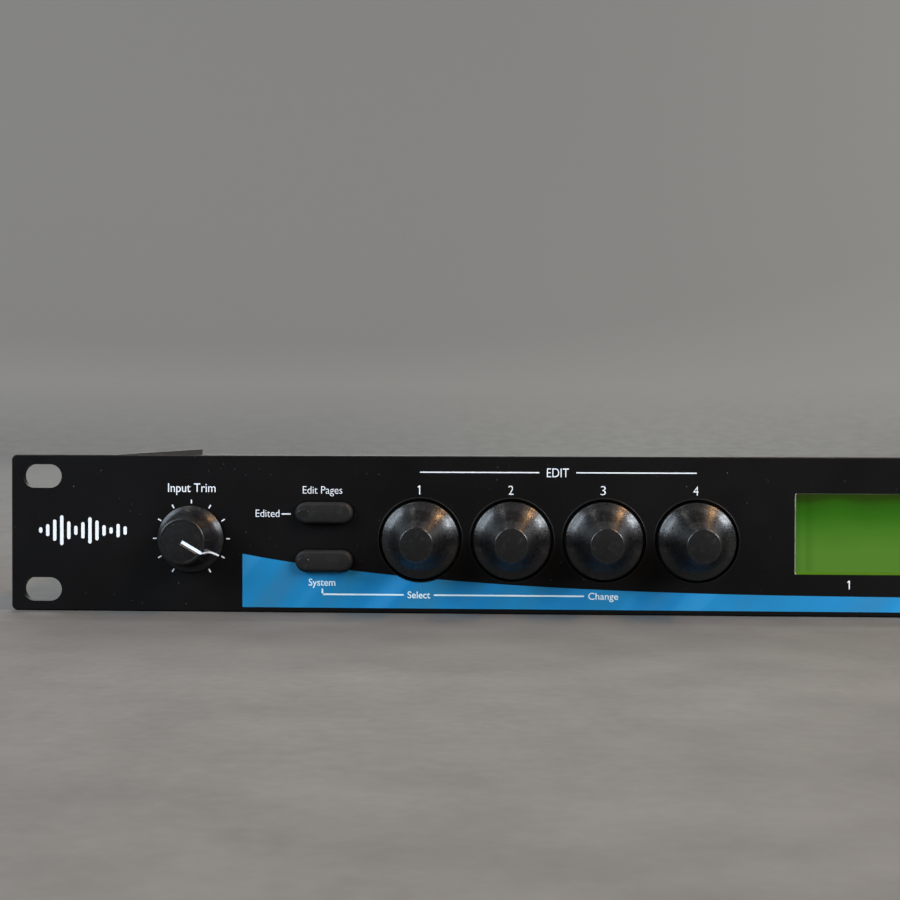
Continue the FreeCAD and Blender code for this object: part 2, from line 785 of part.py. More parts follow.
def make_mains_inlet():
    flange = block_at(inlet_x, socket_z, *inlet_flange_size, rear_y, inlet_mouth_y)
    flange = flange.makeFillet(4.0, edges_along_y(flange))
    case_size = (inlet_width + 2 * inlet_wall, inlet_height + 2 * inlet_wall)
    case = block_at(inlet_x, socket_z, *case_size, rear_y - 18.5, rear_y)
    mouth = inlet_mouth_y
    recess = block_at(inlet_x, socket_z, inlet_width, inlet_height, mouth - inlet_depth, mouth + 1)
    upper = [e for e in edges_along_y(recess) if e.BoundBox.Center.z > socket_z]
    recess = recess.makeChamfer(3.6, upper)
    holes = [rod(x, socket_z, clearance_radius, rear_y - 1, mouth + 1) for x in inlet_screw_x()]
    slots = [pin_block(x, z, 0.05) for x, z in inlet_pin_places()]
    return flange.fuse(case).removeSplitter().cut([recess] + holes + slots)


def inlet_screw_x():
    return [inlet_x + s * inlet_screw_spacing / 2 for s in (-1, 1)]


def midi_screw_x():
    return [x + s * midi_screw_spacing / 2 for x in midi_x for s in (-1, 1)]


def inlet_pin_places():
    """The two outer contacts and the earth contact above them."""
    return [(inlet_x - 7.0, socket_z - 2.0), (inlet_x + 7.0, socket_z - 2.0), (inlet_x, socket_z + 2.0)]


def pin_block(x, z, gap):
    """One flat contact blade, grown by gap all round."""
    return block_at(x, z, 2.0 + 2 * gap, 4.0 + 2 * gap, rear_y - 25.0, inlet_mouth_y - 2.0)


def make_inlet_pins():
    return group([pin_block(x, z, 0) for x, z in inlet_pin_places()])


def make_rear_screws():
    inward = REARWARD * -1
    made = [screw(V(x, inlet_mouth_y, socket_z), inward, inlet_screw_length) for x in inlet_screw_x()]
    made += [screw(V(x, rear_y, socket_z), inward, midi_screw_length) for x in midi_screw_x()]
    return group(made)


midi_face_y = rear_y + midi_nose_reach
midi_floor_y = midi_face_y - midi_well_depth


def make_midi_sockets():
    """Moulded housings, each with a round well that a plug's shell goes into."""
    made = []
    for x in midi_x:
        case = block(x - 9.0, x + 9.0, 124.0, rear_inner_y, board_top, socket_z + 9.5)
        nose = rod(x, socket_z, midi_nose_radius, rear_inner_y, midi_face_y)
        well = rod(x, socket_z, midi_well_radius, midi_floor_y, midi_face_y + 1)
        made.append(case.fuse(nose).removeSplitter().cut(well))
    return group(made)


def make_midi_inserts():
    """The round cores that stand in the wells, each with five pin holes in a half circle."""
    made = []
    for x in midi_x:
        core = rod(x, socket_z, midi_insert_radius, midi_floor_y, midi_face_y)
        holes = []
        for k in range(5):
            a = math.radians(180 + 45 * k)
            pin_x, pin_z = x + midi_pin_circle * math.cos(a), socket_z + midi_pin_circle * math.sin(a)
            holes.append(rod(pin_x, pin_z, midi_pin_radius, midi_floor_y + 1, midi_face_y + 1))
        made.append(core.cut(holes))
    return group(made)


def make_phono_sockets():
    made = []
    for x in phono_x:
        case = block(x - 6.0, x + 6.0, 126.0, rear_inner_y, board_top, socket_z + 7.0)
        collar_y = rear_y + phono_collar_reach
        collar = rod(x, socket_z, phono_collar_radius, rear_inner_y, collar_y)
        core = rod(x, socket_z, phono_core_radius, rear_y, rear_y + phono_reach - 0.6)
        hole = rod(x, socket_z, phono_contact_radius, rear_y - 1, rear_y + phono_reach)
        made.append(case.fuse([collar, core]).removeSplitter().cut(hole))
    return group(made)


def make_phono_shells():
    made = []
    for x in phono_x:
        tube = rod(x, socket_z, phono_radius, rear_y + phono_collar_reach, rear_y + phono_reach)
        bore = rod(x, socket_z, phono_core_radius + 0.1, rear_y, rear_y + phono_reach + 1)
        made.append(tube.cut(bore))
    return group(made)


def make_jack_sockets():
    made = []
    mouth = rear_y + jack_nose_reach
    for x in jack_x:
        case = block(x - 8.0, x + 8.0, 116.0, rear_inner_y, board_top, socket_z + 9.0)
        nose = rod(x, socket_z, jack_nose_radius, rear_inner_y, mouth)
        bore = rod(x, socket_z, jack_bore_radius, mouth - jack_bore_length, mouth + 1)
        made.append(case.fuse(nose).removeSplitter().cut(bore))
    return group(made)


def make_jack_nuts():
    bore, outer_y = jack_nose_radius + 0.02, rear_y + jack_nut_height
    return group([hexagon(x, socket_z, jack_nut_width, bore, rear_y, outer_y) for x in jack_x])


# ---- everything -------------------------------------------------------------------------------------

def make_all():
    """Every node's name and shape."""
    upright = (control_board_y, control_board_bottom, control_board_top)
    lcd_left = display_mid_x - lcd_board_width / 2
    lcd_place = (lcd_left, lcd_left + lcd_board_width, lcd_board_y)
    lcd_span = (lcd_board_bottom, lcd_board_bottom + lcd_board_height)
    trim_shaft_end = control_board_y - shaft_end_gap
    nodes = {
        "front_panel": make_front_panel(),
        "panel_studs": make_panel_studs(),
        "panel_nuts": make_panel_nuts(),
        "chassis": make_chassis(),
        "top_cover": make_top_cover(),
        "cover_screws": make_cover_screws(),
        "display_window": make_display_window(),
        "display_gasket": make_display_gasket(),
        "lcd_bezel": make_lcd_bezel(),
        "lcd_glass": make_lcd_glass(),
        "lcd_backlight": make_lcd_backlight(),
        "lcd_board": make_upright_board(*lcd_place, *lcd_span, lcd_spacers),
        "left_control_board": make_upright_board(*left_board, *upright, left_spacers),
        "right_control_board": make_upright_board(*right_board, *upright, right_spacers),
        "main_board": make_flat_board(main_board, main_spacers),
        "power_board": make_flat_board(power_board, power_spacers),
        "board_spacers": make_board_spacers(),
        "board_screws": make_board_screws(),
        "circuit_chips": make_circuit_chips(),
        "capacitors": make_capacitors(),
        "heat_sink": make_heat_sink(),
        "mains_fuse": make_mains_fuse(),
        "transformer_core": make_transformer_core(),
        "transformer_winding": make_transformer_winding(),
        "ribbon_cable": make_ribbon_cable(),
        "ribbon_headers": make_ribbon_headers(),
        "encoder_bodies": make_encoder_bodies(),
        "trim_potentiometer": make_trim_potentiometer(),
        "keypad_mats": make_keypad_mats(),
        "key_leds": make_key_leds(),
        "meter_leds": make_meter_leds(),
        "power_switch_body": make_power_switch_body(),
        "mains_inlet": make_mains_inlet(),
        "inlet_pins": make_inlet_pins(),
        "rear_screws": make_rear_screws(),
        "midi_sockets": make_midi_sockets(),
        "midi_inserts": make_midi_inserts(),
        "phono_sockets": make_phono_sockets(),
        "phono_shells": make_phono_shells(),
        "jack_sockets": make_jack_sockets(),
        "jack_nuts": make_jack_nuts(),
        "trim_knob": make_trim_knob(),
        "trim_shaft": rod(trim_x, control_z, shaft_radius, trim_bore_y, trim_shaft_end),
        "program_knob": make_edit_knob(program_x),
        "program_shaft": make_edit_shaft(program_x),
        "power_rocker": make_power_rocker(),
    }
    for i, x in enumerate(edit_x):
        nodes["edit_knob_%d" % (i + 1)] = make_edit_knob(x)
        nodes["edit_shaft_%d" % (i + 1)] = make_edit_shaft(x)
    for x, names in zip(key_columns, key_names):
        for z, name in zip(key_z, names):
            nodes[name] = make_key(x, z)
    return nodes


os.makedirs("parts", exist_ok=True)
for node_name, node_shape in make_all().items():
    save(node_name, node_shape)
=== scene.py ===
"""Looks of a one-unit rack effects processor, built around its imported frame."""
import json
import math
import random

import bmesh
import bpy
from mathutils import Matrix, Vector

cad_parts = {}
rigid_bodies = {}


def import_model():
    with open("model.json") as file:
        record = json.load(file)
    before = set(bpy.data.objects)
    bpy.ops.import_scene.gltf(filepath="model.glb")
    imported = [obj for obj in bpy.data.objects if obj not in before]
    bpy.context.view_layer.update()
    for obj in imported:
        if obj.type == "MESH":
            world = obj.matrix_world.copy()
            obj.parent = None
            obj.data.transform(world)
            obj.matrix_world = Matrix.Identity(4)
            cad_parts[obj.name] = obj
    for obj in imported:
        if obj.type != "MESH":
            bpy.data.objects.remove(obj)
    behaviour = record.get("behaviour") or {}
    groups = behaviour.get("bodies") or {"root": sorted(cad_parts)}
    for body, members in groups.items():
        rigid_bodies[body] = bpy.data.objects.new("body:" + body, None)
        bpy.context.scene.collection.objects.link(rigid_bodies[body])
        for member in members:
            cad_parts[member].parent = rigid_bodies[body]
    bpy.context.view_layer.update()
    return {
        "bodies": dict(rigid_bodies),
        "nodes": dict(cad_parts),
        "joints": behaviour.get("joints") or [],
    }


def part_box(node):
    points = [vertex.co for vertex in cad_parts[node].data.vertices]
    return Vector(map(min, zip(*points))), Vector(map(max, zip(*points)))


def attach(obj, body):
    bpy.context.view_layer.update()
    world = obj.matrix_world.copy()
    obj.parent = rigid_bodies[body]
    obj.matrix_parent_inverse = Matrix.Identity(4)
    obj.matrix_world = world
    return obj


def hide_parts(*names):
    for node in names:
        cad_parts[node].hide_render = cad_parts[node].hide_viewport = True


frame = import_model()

MM = 0.001
FULL_TURN = 2 * math.pi
random.seed(7)

# ---- places taken from the frame --------------------------------------------------------------------

panel_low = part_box("front_panel")[0]
face_y = panel_low.y
side_x, rear_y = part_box("chassis")[1].xy
panel_left = panel_low.x / MM
axes = {j["name"]: Vector(j["pos_m"]) for j in frame["joints"] if j["type"] == "hinge"}


def spot(from_left, depth, height):
    """A point given in mm from the panel's left end, behind its face and above its lower edge."""
    return Vector(((panel_left + from_left) * MM, face_y + depth * MM, height * MM))


# ---- mesh helpers -----------------------------------------------------------------------------------

def loft(loops, close_start=True, close_end=True):
    """A skin through loops of points. A loop of one point is a tip. Returns a bmesh."""
    made = bmesh.new()
    rings = [[made.verts.new(p) for p in loop] for loop in loops]
    for a, b in zip(rings, rings[1:]):
        count = max(len(a), len(b))
        for i in range(count):
            j = (i + 1) % count
            corners = [a[i % len(a)], a[j % len(a)], b[j % len(b)], b[i % len(b)]]
            made.faces.new(list(dict.fromkeys(corners)))
    if close_start and len(rings[0]) > 2:
        made.faces.new(rings[0])
    if close_end and len(rings[-1]) > 2:
        made.faces.new(rings[-1])
    bmesh.ops.recalc_face_normals(made, faces=made.faces)
    return made


def rectangle(x0, x1, z0, z1):
    """A rectangle's four corners, anticlockwise from the lower left as seen from the front."""
    return [(x0, z0), (x1, z0), (x1, z1), (x0, z1)]


def circle(centre, radius, y, steps):
    """Points round the front-to-back axis through centre, radius in mm. A radius of 0 gives one."""
    if not radius:
        return [Vector((centre.x, y, centre.z))]
    angles = [FULL_TURN * i / steps for i in range(steps)]
    reach = radius * MM
    return [Vector((centre.x + reach * math.cos(a), y, centre.z + reach * math.sin(a))) for a in angles]


def lathe(profile, centre, steps=128, datum=face_y):
    """A turned body about the front-to-back axis through centre. The profile is (radius, depth) in mm."""
    return loft([circle(centre, radius, datum + depth * MM, steps) for radius, depth in profile])


def welded(made):
    """The bmesh with points that lie on each other made one."""
    bmesh.ops.remove_doubles(made, verts=made.verts, dist=1e-7)
    return made


def ring_of(profile, centre, datum, steps=96):
    """A closed ring about the front-to-back axis. The profile is its section, (radius, depth) in mm."""
    loops = [circle(centre, radius, datum + depth * MM, steps) for radius, depth in profile + profile[:1]]
    made = welded(loft(loops, False, False))
    bmesh.ops.recalc_face_normals(made, faces=made.faces)
    return made


def smooth_through(points, steps=8):
    """Points along a smooth curve that passes through the given ones."""
    padded = [points[0]] + list(points) + [points[-1]]
    out = []
    for k in range(1, len(padded) - 2):
        p0, p1, p2, p3 = [Vector(p) for p in padded[k - 1:k + 3]]
        for i in range(steps):
            t = i / steps
            bend = (2 * p0 - 5 * p1 + 4 * p2 - p3) * t * t + (3 * p1 - p0 - 3 * p2 + p3) * t ** 3
            out.append(tuple(0.5 * (2 * p1 + (p2 - p0) * t + bend)))
    out.append(tuple(points[-1]))
    return out


def rounded_corner(radius, depth, size, steps=5):
    """The quarter round where a turned body's front face meets its side, from the side to the face."""
    out = []
    for i in range(steps + 1):
        a = math.pi / 2 * i / steps
        out.append((radius - size + size * math.cos(a), depth + size - size * math.sin(a)))
    return out


def stadium(centre, length, height, depth, steps=20):
    """A loop with straight sides and round ends, across the panel. Sizes are in mm."""
    r = height / 2
    out = []
    for side in (1, -1):
        cx = side * (length / 2 - r)
        for i in range(steps + 1):
            a = side * math.pi / 2 - math.pi * i / steps
            x = centre.x + (cx + r * math.cos(a)) * MM
            out.append(Vector((x, face_y + depth * MM, centre.z + r * math.sin(a) * MM)))
    return out


def plate(outline, y_front, y_rear):
    """A flat piece with that outline, a list of (x, z) in metres, between two depths in metres."""
    return loft([[Vector((x, y, z)) for x, z in outline] for y in (y_front, y_rear)])


def joined(parts):
    """Several bmeshes as one."""
    whole = bmesh.new()
    for part in parts:
        mesh = bpy.data.meshes.new("part")
        part.to_mesh(mesh)
        part.free()
        whole.from_mesh(mesh)
        bpy.data.meshes.remove(mesh)
    return whole


def shade(mesh_data, angle_deg=32):
    """Smooth faces, with hard edges where the surface turns by more than the angle."""
    made = bmesh.new()
    made.from_mesh(mesh_data)
    for f in made.faces:
        f.smooth = True
    for e in made.edges:
        e.smooth = len(e.link_faces) == 2 and e.calc_face_angle(0) < math.radians(angle_deg)
    made.to_mesh(mesh_data)
    made.free()


def piece(name, made, material, body, stands_for=(), origin=Vector((0, 0, 0))):
    """Makes a bmesh a named piece that rides on a body. Its material's patterns start at the origin."""
    mesh = bpy.data.meshes.new(name)
    made.transform(Matrix.Translation(-origin))
    made.to_mesh(mesh)
    made.free()
    shade(mesh)
    obj = bpy.data.objects.new(name, mesh)
    obj.location = origin
    bpy.context.scene.collection.objects.link(obj)
    mesh.materials.append(material)
    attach(obj, body)
    if stands_for:
        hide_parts(*stands_for)
    return obj


def cut(obj, cutters):
    """Takes the cutters, given as bmeshes, out of the piece for good."""
    tools = []
    for i, made in enumerate(cutters):
        mesh = bpy.data.meshes.new("cutter")
        made.to_mesh(mesh)
        made.free()
        tool = bpy.data.objects.new("cutter", mesh)
        bpy.context.scene.collection.objects.link(tool)
        tools.append(tool)
        step = obj.modifiers.new("cut%d" % i, "BOOLEAN")
        step.operation = "DIFFERENCE"
        step.solver = "EXACT"
        step.object = tool
    bpy.context.view_layer.update()
    evaluated = obj.evaluated_get(bpy.context.evaluated_depsgraph_get())
    mesh = bpy.data.meshes.new_from_object(evaluated)
    obj.modifiers.clear()
    obj.data = mesh
    for tool in tools:
        bpy.data.objects.remove(tool)
    shade(obj.data)


# ---- materials --------------------------------------------------------------------------------------

def place_on(tree):
    """The place on the piece, whole and split into its three parts."""
    coords = tree.nodes.new("ShaderNodeTexCoord")
    split = tree.nodes.new("ShaderNodeSeparateXYZ")
    tree.links.new(coords.outputs["Object"], split.inputs[0])
    return coords, split.outputs


def noise(tree, coords, size_mm, detail=3.0):
    """Noise whose features are about size_mm across."""
    node = tree.nodes.new("ShaderNodeTexNoise")
    node.inputs["Scale"].default_value = 1 / (size_mm * MM)
    node.inputs["Detail"].default_value = detail
    tree.links.new(coords.outputs["Object"], node.inputs["Vector"])
    return node.outputs["Fac"]


def mapped(tree, value, low, high, start=0.3, end=0.7):
    """The value, spread from start..end to low..high."""
    node = tree.nodes.new("ShaderNodeMapRange")
    for socket, number in zip(("From Min", "From Max", "To Min", "To Max"), (start, end, low, high)):
        node.inputs[socket].default_value = number
    tree.links.new(value, node.inputs["Value"])
    return node.outputs["Result"]


def blended(tree, factor, colour_a, colour_b):
    """A mix of two colours, each a tuple or another node's output."""
    node = tree.nodes.new("ShaderNodeMix")
    node.data_type = "RGBA"
    tree.links.new(factor, node.inputs[0])
    for socket, colour in ((node.inputs[6], colour_a), (node.inputs[7], colour_b)):
        if isinstance(colour, tuple):
            socket.default_value = (*colour, 1)
        else:
            tree.links.new(colour, socket)
    return node.outputs[2]


dust_colour = (0.35, 0.34, 0.33)


def finish(name, colour, rough, metallic=0.0, spread=0.12, mottle_mm=9.0, grain_mm=0.25, relief_mm=0.004,
           rough_spread=0.06, specks=0.0, scuffs=0.0, gloss_level=0.5):
    """A surface whose tone and gloss vary slowly, with fine grain, and dust or light scuffs if asked."""
    material = bpy.data.materials.new(name)
    material.use_nodes = True
    tree, shader = tree_of(material)
    coords = tree.nodes.new("ShaderNodeTexCoord")
    slow = noise(tree, coords, mottle_mm)
    dark = tuple(c * (1 - spread) for c in colour)
    light = tuple(min(1.0, c * (1 + spread)) for c in colour)
    tone = blended(tree, mapped(tree, slow, 0, 1), dark, light)
    gloss = mapped(tree, noise(tree, coords, mottle_mm * 0.37), rough - rough_spread, rough + rough_spread)
    if scuffs:
        wear = mapped(tree, noise(tree, coords, 1.3, 8.0), 0, scuffs, 0.56, 0.72)
        tone = blended(tree, wear, tone, tuple(min(1.0, c * 2.2 + 0.02) for c in colour))
    if specks:
        dust = mapped(tree, noise(tree, coords, 0.55, 1.0), 0, specks, 0.80, 0.83)
        tone = blended(tree, dust, tone, dust_colour)
    tree.links.new(tone, shader.inputs["Base Color"])
    tree.links.new(gloss, shader.inputs["Roughness"])
    shader.inputs["Metallic"].default_value = metallic
    shader.inputs["Specular IOR Level"].default_value = gloss_level
    bump = tree.nodes.new("ShaderNodeBump")
    bump.inputs["Strength"].default_value = 1.0
    bump.inputs["Distance"].default_value = relief_mm * MM
    tree.links.new(noise(tree, coords, grain_mm, 2.0), bump.inputs["Height"])
    tree.links.new(bump.outputs["Normal"], shader.inputs["Normal"])
    return material


def tree_of(material):
    """A material's node tree and its surface shader."""
    tree = material.node_tree
    return tree, tree.nodes["Principled BSDF"]


panel_paint = finish("panel_paint", (0.0026, 0.0024, 0.0027), 0.48, spread=0.2, mottle_mm=40,
                     grain_mm=0.12, relief_mm=0.0016, specks=0.5, gloss_level=0.13)
cut_edge = finish("painted_edge", (0.006, 0.006, 0.006), 0.42, grain_mm=0.12, relief_mm=0.002,
                  gloss_level=0.22)
powder_coat = finish("powder_coat", (0.014, 0.014, 0.0144), 0.52, grain_mm=0.45, relief_mm=0.02,
                     mottle_mm=25, rough_spread=0.02, specks=0.3, gloss_level=0.36)
knob_plastic = finish("knob_plastic", (0.0035, 0.0035, 0.0038), 0.34, grain_mm=0.6, relief_mm=0.034,
                      spread=0.25, mottle_mm=2, rough_spread=0.11, scuffs=0.4, specks=0.4,
                      gloss_level=0.70)
trim_plastic = finish("trim_plastic", (0.0045, 0.0045, 0.0048), 0.33, grain_mm=0.30, relief_mm=0.008,
                      spread=0.25, mottle_mm=2, rough_spread=0.07, scuffs=0.3, specks=0.4,
                      gloss_level=0.45)
knob_face = finish("knob_face", (0.0052, 0.0052, 0.0054), 0.55, grain_mm=0.24, relief_mm=0.009,
                   spread=0.3, mottle_mm=1.5, scuffs=0.35, specks=0.4, gloss_level=0.2)
key_silicone = finish("key_silicone", (0.0060, 0.0060, 0.0062), 0.60, grain_mm=0.3, relief_mm=0.018,
                      spread=0.24, mottle_mm=1.6, specks=0.7, scuffs=0.3, gloss_level=0.28)
white_ink = finish("white_ink", (0.83, 0.90, 0.98), 0.5, spread=0.04, mottle_mm=1.2, grain_mm=0.1,
                   relief_mm=0.002)
band_ink = finish("white_ink_over_blue", (0.74, 0.92, 0.98), 0.5, spread=0.04, mottle_mm=1.2, grain_mm=0.1,
                  relief_mm=0.002)
zinc = finish("zinc_plate", (0.62, 0.62, 0.64), 0.3, 1.0, spread=0.12, mottle_mm=5, relief_mm=0.003)
black_oxide = finish("black_oxide", (0.025, 0.025, 0.026), 0.36, 0.7, spread=0.2, mottle_mm=2,
                     relief_mm=0.004)
nickel = finish("bright_nickel", (0.72, 0.69, 0.64), 0.18, 1.0, spread=0.08, mottle_mm=3, relief_mm=0.001,
                rough_spread=0.05)
aluminium = finish("plain_aluminium", (0.70, 0.71, 0.72), 0.38, 1.0, spread=0.1, mottle_mm=4,
                   relief_mm=0.003)
switch_plastic = finish("switch_plastic", (0.011, 0.011, 0.012), 0.3, grain_mm=0.3, relief_mm=0.006,
                        spread=0.15)
socket_plastic = finish("socket_plastic", (0.014, 0.014, 0.015), 0.45, grain_mm=0.2, relief_mm=0.006)
epoxy = finish("chip_epoxy", (0.012, 0.012, 0.012), 0.55, grain_mm=0.15, relief_mm=0.006)
foam = finish("foam", (0.012, 0.012, 0.012), 0.9, grain_mm=0.4, relief_mm=0.08)
tin = finish("tinned_steel", (0.5, 0.5, 0.5), 0.35, 1.0, mottle_mm=4)
milky = finish("milky_plastic", (0.75, 0.78, 0.72), 0.4)
solder_mask = finish("solder_mask", (0.003, 0.013, 0.006), 0.35, spread=0.35, mottle_mm=2.2, grain_mm=1.2,
                     relief_mm=0.03)
sleeve = finish("capacitor_sleeve", (0.012, 0.02, 0.07), 0.3)
laminations = finish("laminations", (0.09, 0.08, 0.07), 0.5, 0.5, grain_mm=0.5, relief_mm=0.05)
amber_tape = finish("amber_tape", (0.62, 0.36, 0.04), 0.35, spread=0.1)
grey_sheath = finish("grey_sheath", (0.33, 0.33, 0.34), 0.55)
lamp_red = finish("lamp_red", (0.16, 0.010, 0.008), 0.15, relief_mm=0.0005)
lamp_green = finish("lamp_green", (0.02, 0.11, 0.02), 0.15, relief_mm=0.0005)
# Light brown painted highlight for the lit edge of the trim pointer's slot.
slot_edge_painted_highlight = finish("slot_edge_painted_highlight", (0.26, 0.19, 0.15), 0.5)
smoked_lens = finish("smoked_lens", (0.0075, 0.0075, 0.0080), 0.30, relief_mm=0.001, grain_mm=0.4)


def polish_in_circles(material, amount):
    """Gloss spread outwards from the middle, as fine turning marks round the front-to-back axis do."""
    tree, shader = tree_of(material)
    tangent = tree.nodes.new("ShaderNodeTangent")
    tangent.direction_type = "RADIAL"
    tangent.axis = "Y"
    tree.links.new(tangent.outputs["Tangent"], shader.inputs["Tangent"])
    shader.inputs["Anisotropic"].default_value = amount
    shader.inputs["Anisotropic Rotation"].default_value = 0.25


polish_in_circles(knob_plastic, 0.78)
polish_in_circles(trim_plastic, 0.4)


def make_blue_ink():
    """Blue print with slanting bands, some greyer and some brighter, and lighter towards the right."""
    material = finish("blue_ink", (0.017, 0.156, 0.376), 0.42, grain_mm=0.12, relief_mm=0.0015,
                      gloss_level=0.15)
    tree, shader = tree_of(material)
    _, parts = place_on(tree)
    slant = tree.nodes.new("ShaderNodeMath")
    slant.operation = "MULTIPLY_ADD"
    tree.links.new(parts["Z"], slant.inputs[0])
    slant.inputs[1].default_value = -0.8
    tree.links.new(parts["X"], slant.inputs[2])
    bands = tree.nodes.new("ShaderNodeTexNoise")
    bands.noise_dimensions = "1D"
    bands.inputs["Scale"].default_value = 1 / (15 * MM)
    bands.inputs["Detail"].default_value = 1.0
    tree.links.new(slant.outputs[0], bands.inputs["W"])
    ramp = tree.nodes.new("ShaderNodeValToRGB")
    set_stops(ramp, [(0.30, (0.023, 0.186, 0.383)), (0.40, (0.017, 0.200, 0.427)),
                     (0.46, (0.012, 0.206, 0.458)), (0.56, (0.011, 0.216, 0.481)),
                     (0.62, (0.017, 0.237, 0.521)), (0.75, (0.027, 0.256, 0.552))])
    tree.links.new(bands.outputs["Fac"], ramp.inputs[0])
    across = mapped(tree, parts["X"], 0, 0.45, -0.15, 0.15)
    tone = blended(tree, across, ramp.outputs["Color"], (0.040, 0.345, 0.740))
    tree.links.new(tone, shader.inputs["Base Color"])
    return material


def set_stops(ramp, stops):
    """Sets a colour ramp from a list of (position, colour)."""
    ramp.color_ramp.elements[0].position = stops[0][0]
    ramp.color_ramp.elements[1].position = stops[-1][0]
    for position, _ in stops[1:-1]:
        ramp.color_ramp.elements.new(position)
    for element, (position, colour) in zip(ramp.color_ramp.elements, stops):
        element.color = (*colour, 1)


blue_ink = make_blue_ink()


window_lip = 2.1


def make_clear_window():
    """Polished clear acrylic: mostly see-through, with a glossy face."""
    material = finish("clear_acrylic", (0.03, 0.045, 0.02), 0.10, spread=0.02, relief_mm=0,
                      rough_spread=0.02, gloss_level=0.3)
    tree_of(material)[1].inputs["Alpha"].default_value = 0.035
    return material


def make_display_green(low, high):
    """Yellow-green liquid crystal shown as a painted glow, with painted shade: darker towards the top,
    under the opening's upper edge, and at the left edge.
    """
    material = finish("display_painted_glow", (0.006, 0.012, 0.003), 0.35, spread=0.04, mottle_mm=20, relief_mm=0,
                      gloss_level=0.08)
    tree, shader = tree_of(material)
    coords, parts = place_on(tree)
    cloud = mapped(tree, noise(tree, coords, 14, 1.0), -0.03, 0.03)
    height = mapped(tree, parts["Z"], 0, 1, low.z, high.z)
    uneven = tree.nodes.new("ShaderNodeMath")
    tree.links.new(height, uneven.inputs[0])
    tree.links.new(cloud, uneven.inputs[1])
    # Painted glow that darkens towards the top, as painted shade under the opening's upper edge.
    ramp = tree.nodes.new("ShaderNodeValToRGB")
    set_stops(ramp, [(0.0, (0.070, 0.190, 0.004)), (0.05, (0.078, 0.200, 0.022)),
                     (0.30, (0.080, 0.205, 0.021)), (0.52, (0.052, 0.176, 0.012)),
                     (0.70, (0.024, 0.124, 0.003)), (0.80, (0.021, 0.100, 0.003)),
                     (0.86, (0.020, 0.052, 0.003)), (0.97, (0.022, 0.038, 0.004))])
    tree.links.new(uneven.outputs[0], ramp.inputs[0])
    # Painted shade in upright streaks along the opening's left edge.
    side = tree.nodes.new("ShaderNodeValToRGB")
    set_stops(side, [(0.0, (0.62, 0.70, 0.7)), (0.22, (0.84, 0.88, 1.0)), (0.31, (1.0, 1.0, 1.0)),
                     (0.46, (0.78, 0.85, 0.8)), (0.66, (1.0, 1.0, 1.0))])
    opening = low.x + window_lip * MM
    tree.links.new(mapped(tree, parts["X"], 0, 1, opening, opening + 10 * MM), side.inputs[0])
    shaded = tree.nodes.new("ShaderNodeMix")
    shaded.data_type = "RGBA"
    shaded.blend_type = "MULTIPLY"
    shaded.inputs[0].default_value = 1.0
    tree.links.new(ramp.outputs["Color"], shaded.inputs[6])
    tree.links.new(side.outputs["Color"], shaded.inputs[7])
    # The emission carries the painted glow and the painted shade.
    tree.links.new(shaded.outputs[2], shader.inputs["Emission Color"])
    shader.inputs["Emission Strength"].default_value = 1.0
    return material


clear_acrylic = make_clear_window()
display_painted_glow = make_display_green(*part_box("display_window"))

node_finishes = {
    "front_panel": panel_paint, "panel_studs": zinc, "panel_nuts": zinc, "chassis": powder_coat,
    "top_cover": powder_coat, "display_window": clear_acrylic, "display_gasket": foam, "lcd_bezel": tin,
    "lcd_glass": display_painted_glow, "lcd_backlight": milky, "lcd_board": solder_mask,
    "left_control_board": solder_mask, "right_control_board": solder_mask, "main_board": solder_mask,
    "power_board": solder_mask, "board_spacers": zinc, "board_screws": zinc, "circuit_chips": epoxy,
    "capacitors": sleeve, "heat_sink": aluminium, "mains_fuse": aluminium, "transformer_core": laminations,
    "transformer_winding": amber_tape, "ribbon_cable": grey_sheath, "ribbon_headers": epoxy,
    "encoder_bodies": epoxy, "trim_potentiometer": epoxy, "keypad_mats": key_silicone, "key_leds": lamp_red,
    "meter_leds": lamp_green, "power_switch_body": switch_plastic, "mains_inlet": switch_plastic,
    "inlet_pins": nickel, "midi_sockets": socket_plastic, "midi_inserts": socket_plastic,
    "phono_sockets": socket_plastic, "phono_shells": nickel, "jack_sockets": socket_plastic,
    "jack_nuts": nickel, "power_rocker": switch_plastic, "trim_shaft": aluminium,
    "program_shaft": aluminium,
}
for number in range(1, 5):
    node_finishes["edit_shaft_%d" % number] = aluminium
for node, material in node_finishes.items():
    node_mesh = frame["nodes"][node].data
    node_mesh.materials.clear()
    node_mesh.materials.append(material)


# ---- knobs ------------------------------------------------------------------------------------------

knob_rim, knob_reach, knob_bore_depth = 10.7, 17.0, 14.0
shaft_fit = 3.02


def edit_knob_profile():
    """From the middle of the bore, out round the rim and up the flare to the middle of the front face."""
    bore = [(0, -knob_bore_depth), (shaft_fit, -knob_bore_depth), (shaft_fit, 0.8)]
    hub_and_rim = [(4.6, 0.8), (4.6, -0.3), (9.6, -0.3), (9.6, 0.8), (knob_rim - 0.25, 0.8),
                   (knob_rim, 0.55)]
    edge = [(knob_rim, -0.85), (knob_rim - 0.04, -1.0), (knob_rim - 0.13, -1.12)]
    flare = smooth_through([(10.45, -1.22), (8.5, -2.35), (6.85, -4.8), (5.8, -7.9), (5.35, -11.0)])
    boss = [(5.12, -12.8), (4.88, -14.7), (4.7, -16.3)]
    crown = rounded_corner(4.62, -knob_reach, 0.38)
    return bore + hub_and_rim + edge + flare + boss + crown + [(4.1, -knob_reach), (0, -knob_reach)]


def make_knob_face(name, axis, radius, depth, body):
    """The flat front of a knob, which is duller than its turned side."""
    skin, root, bevel = 0.012, 0.1, 0.06
    profile = [(0, depth + root), (radius, depth + root), (radius, depth), (radius - bevel, depth - skin),
               (0, depth - skin)]
    piece(name, lathe(profile, axis), knob_face, body)


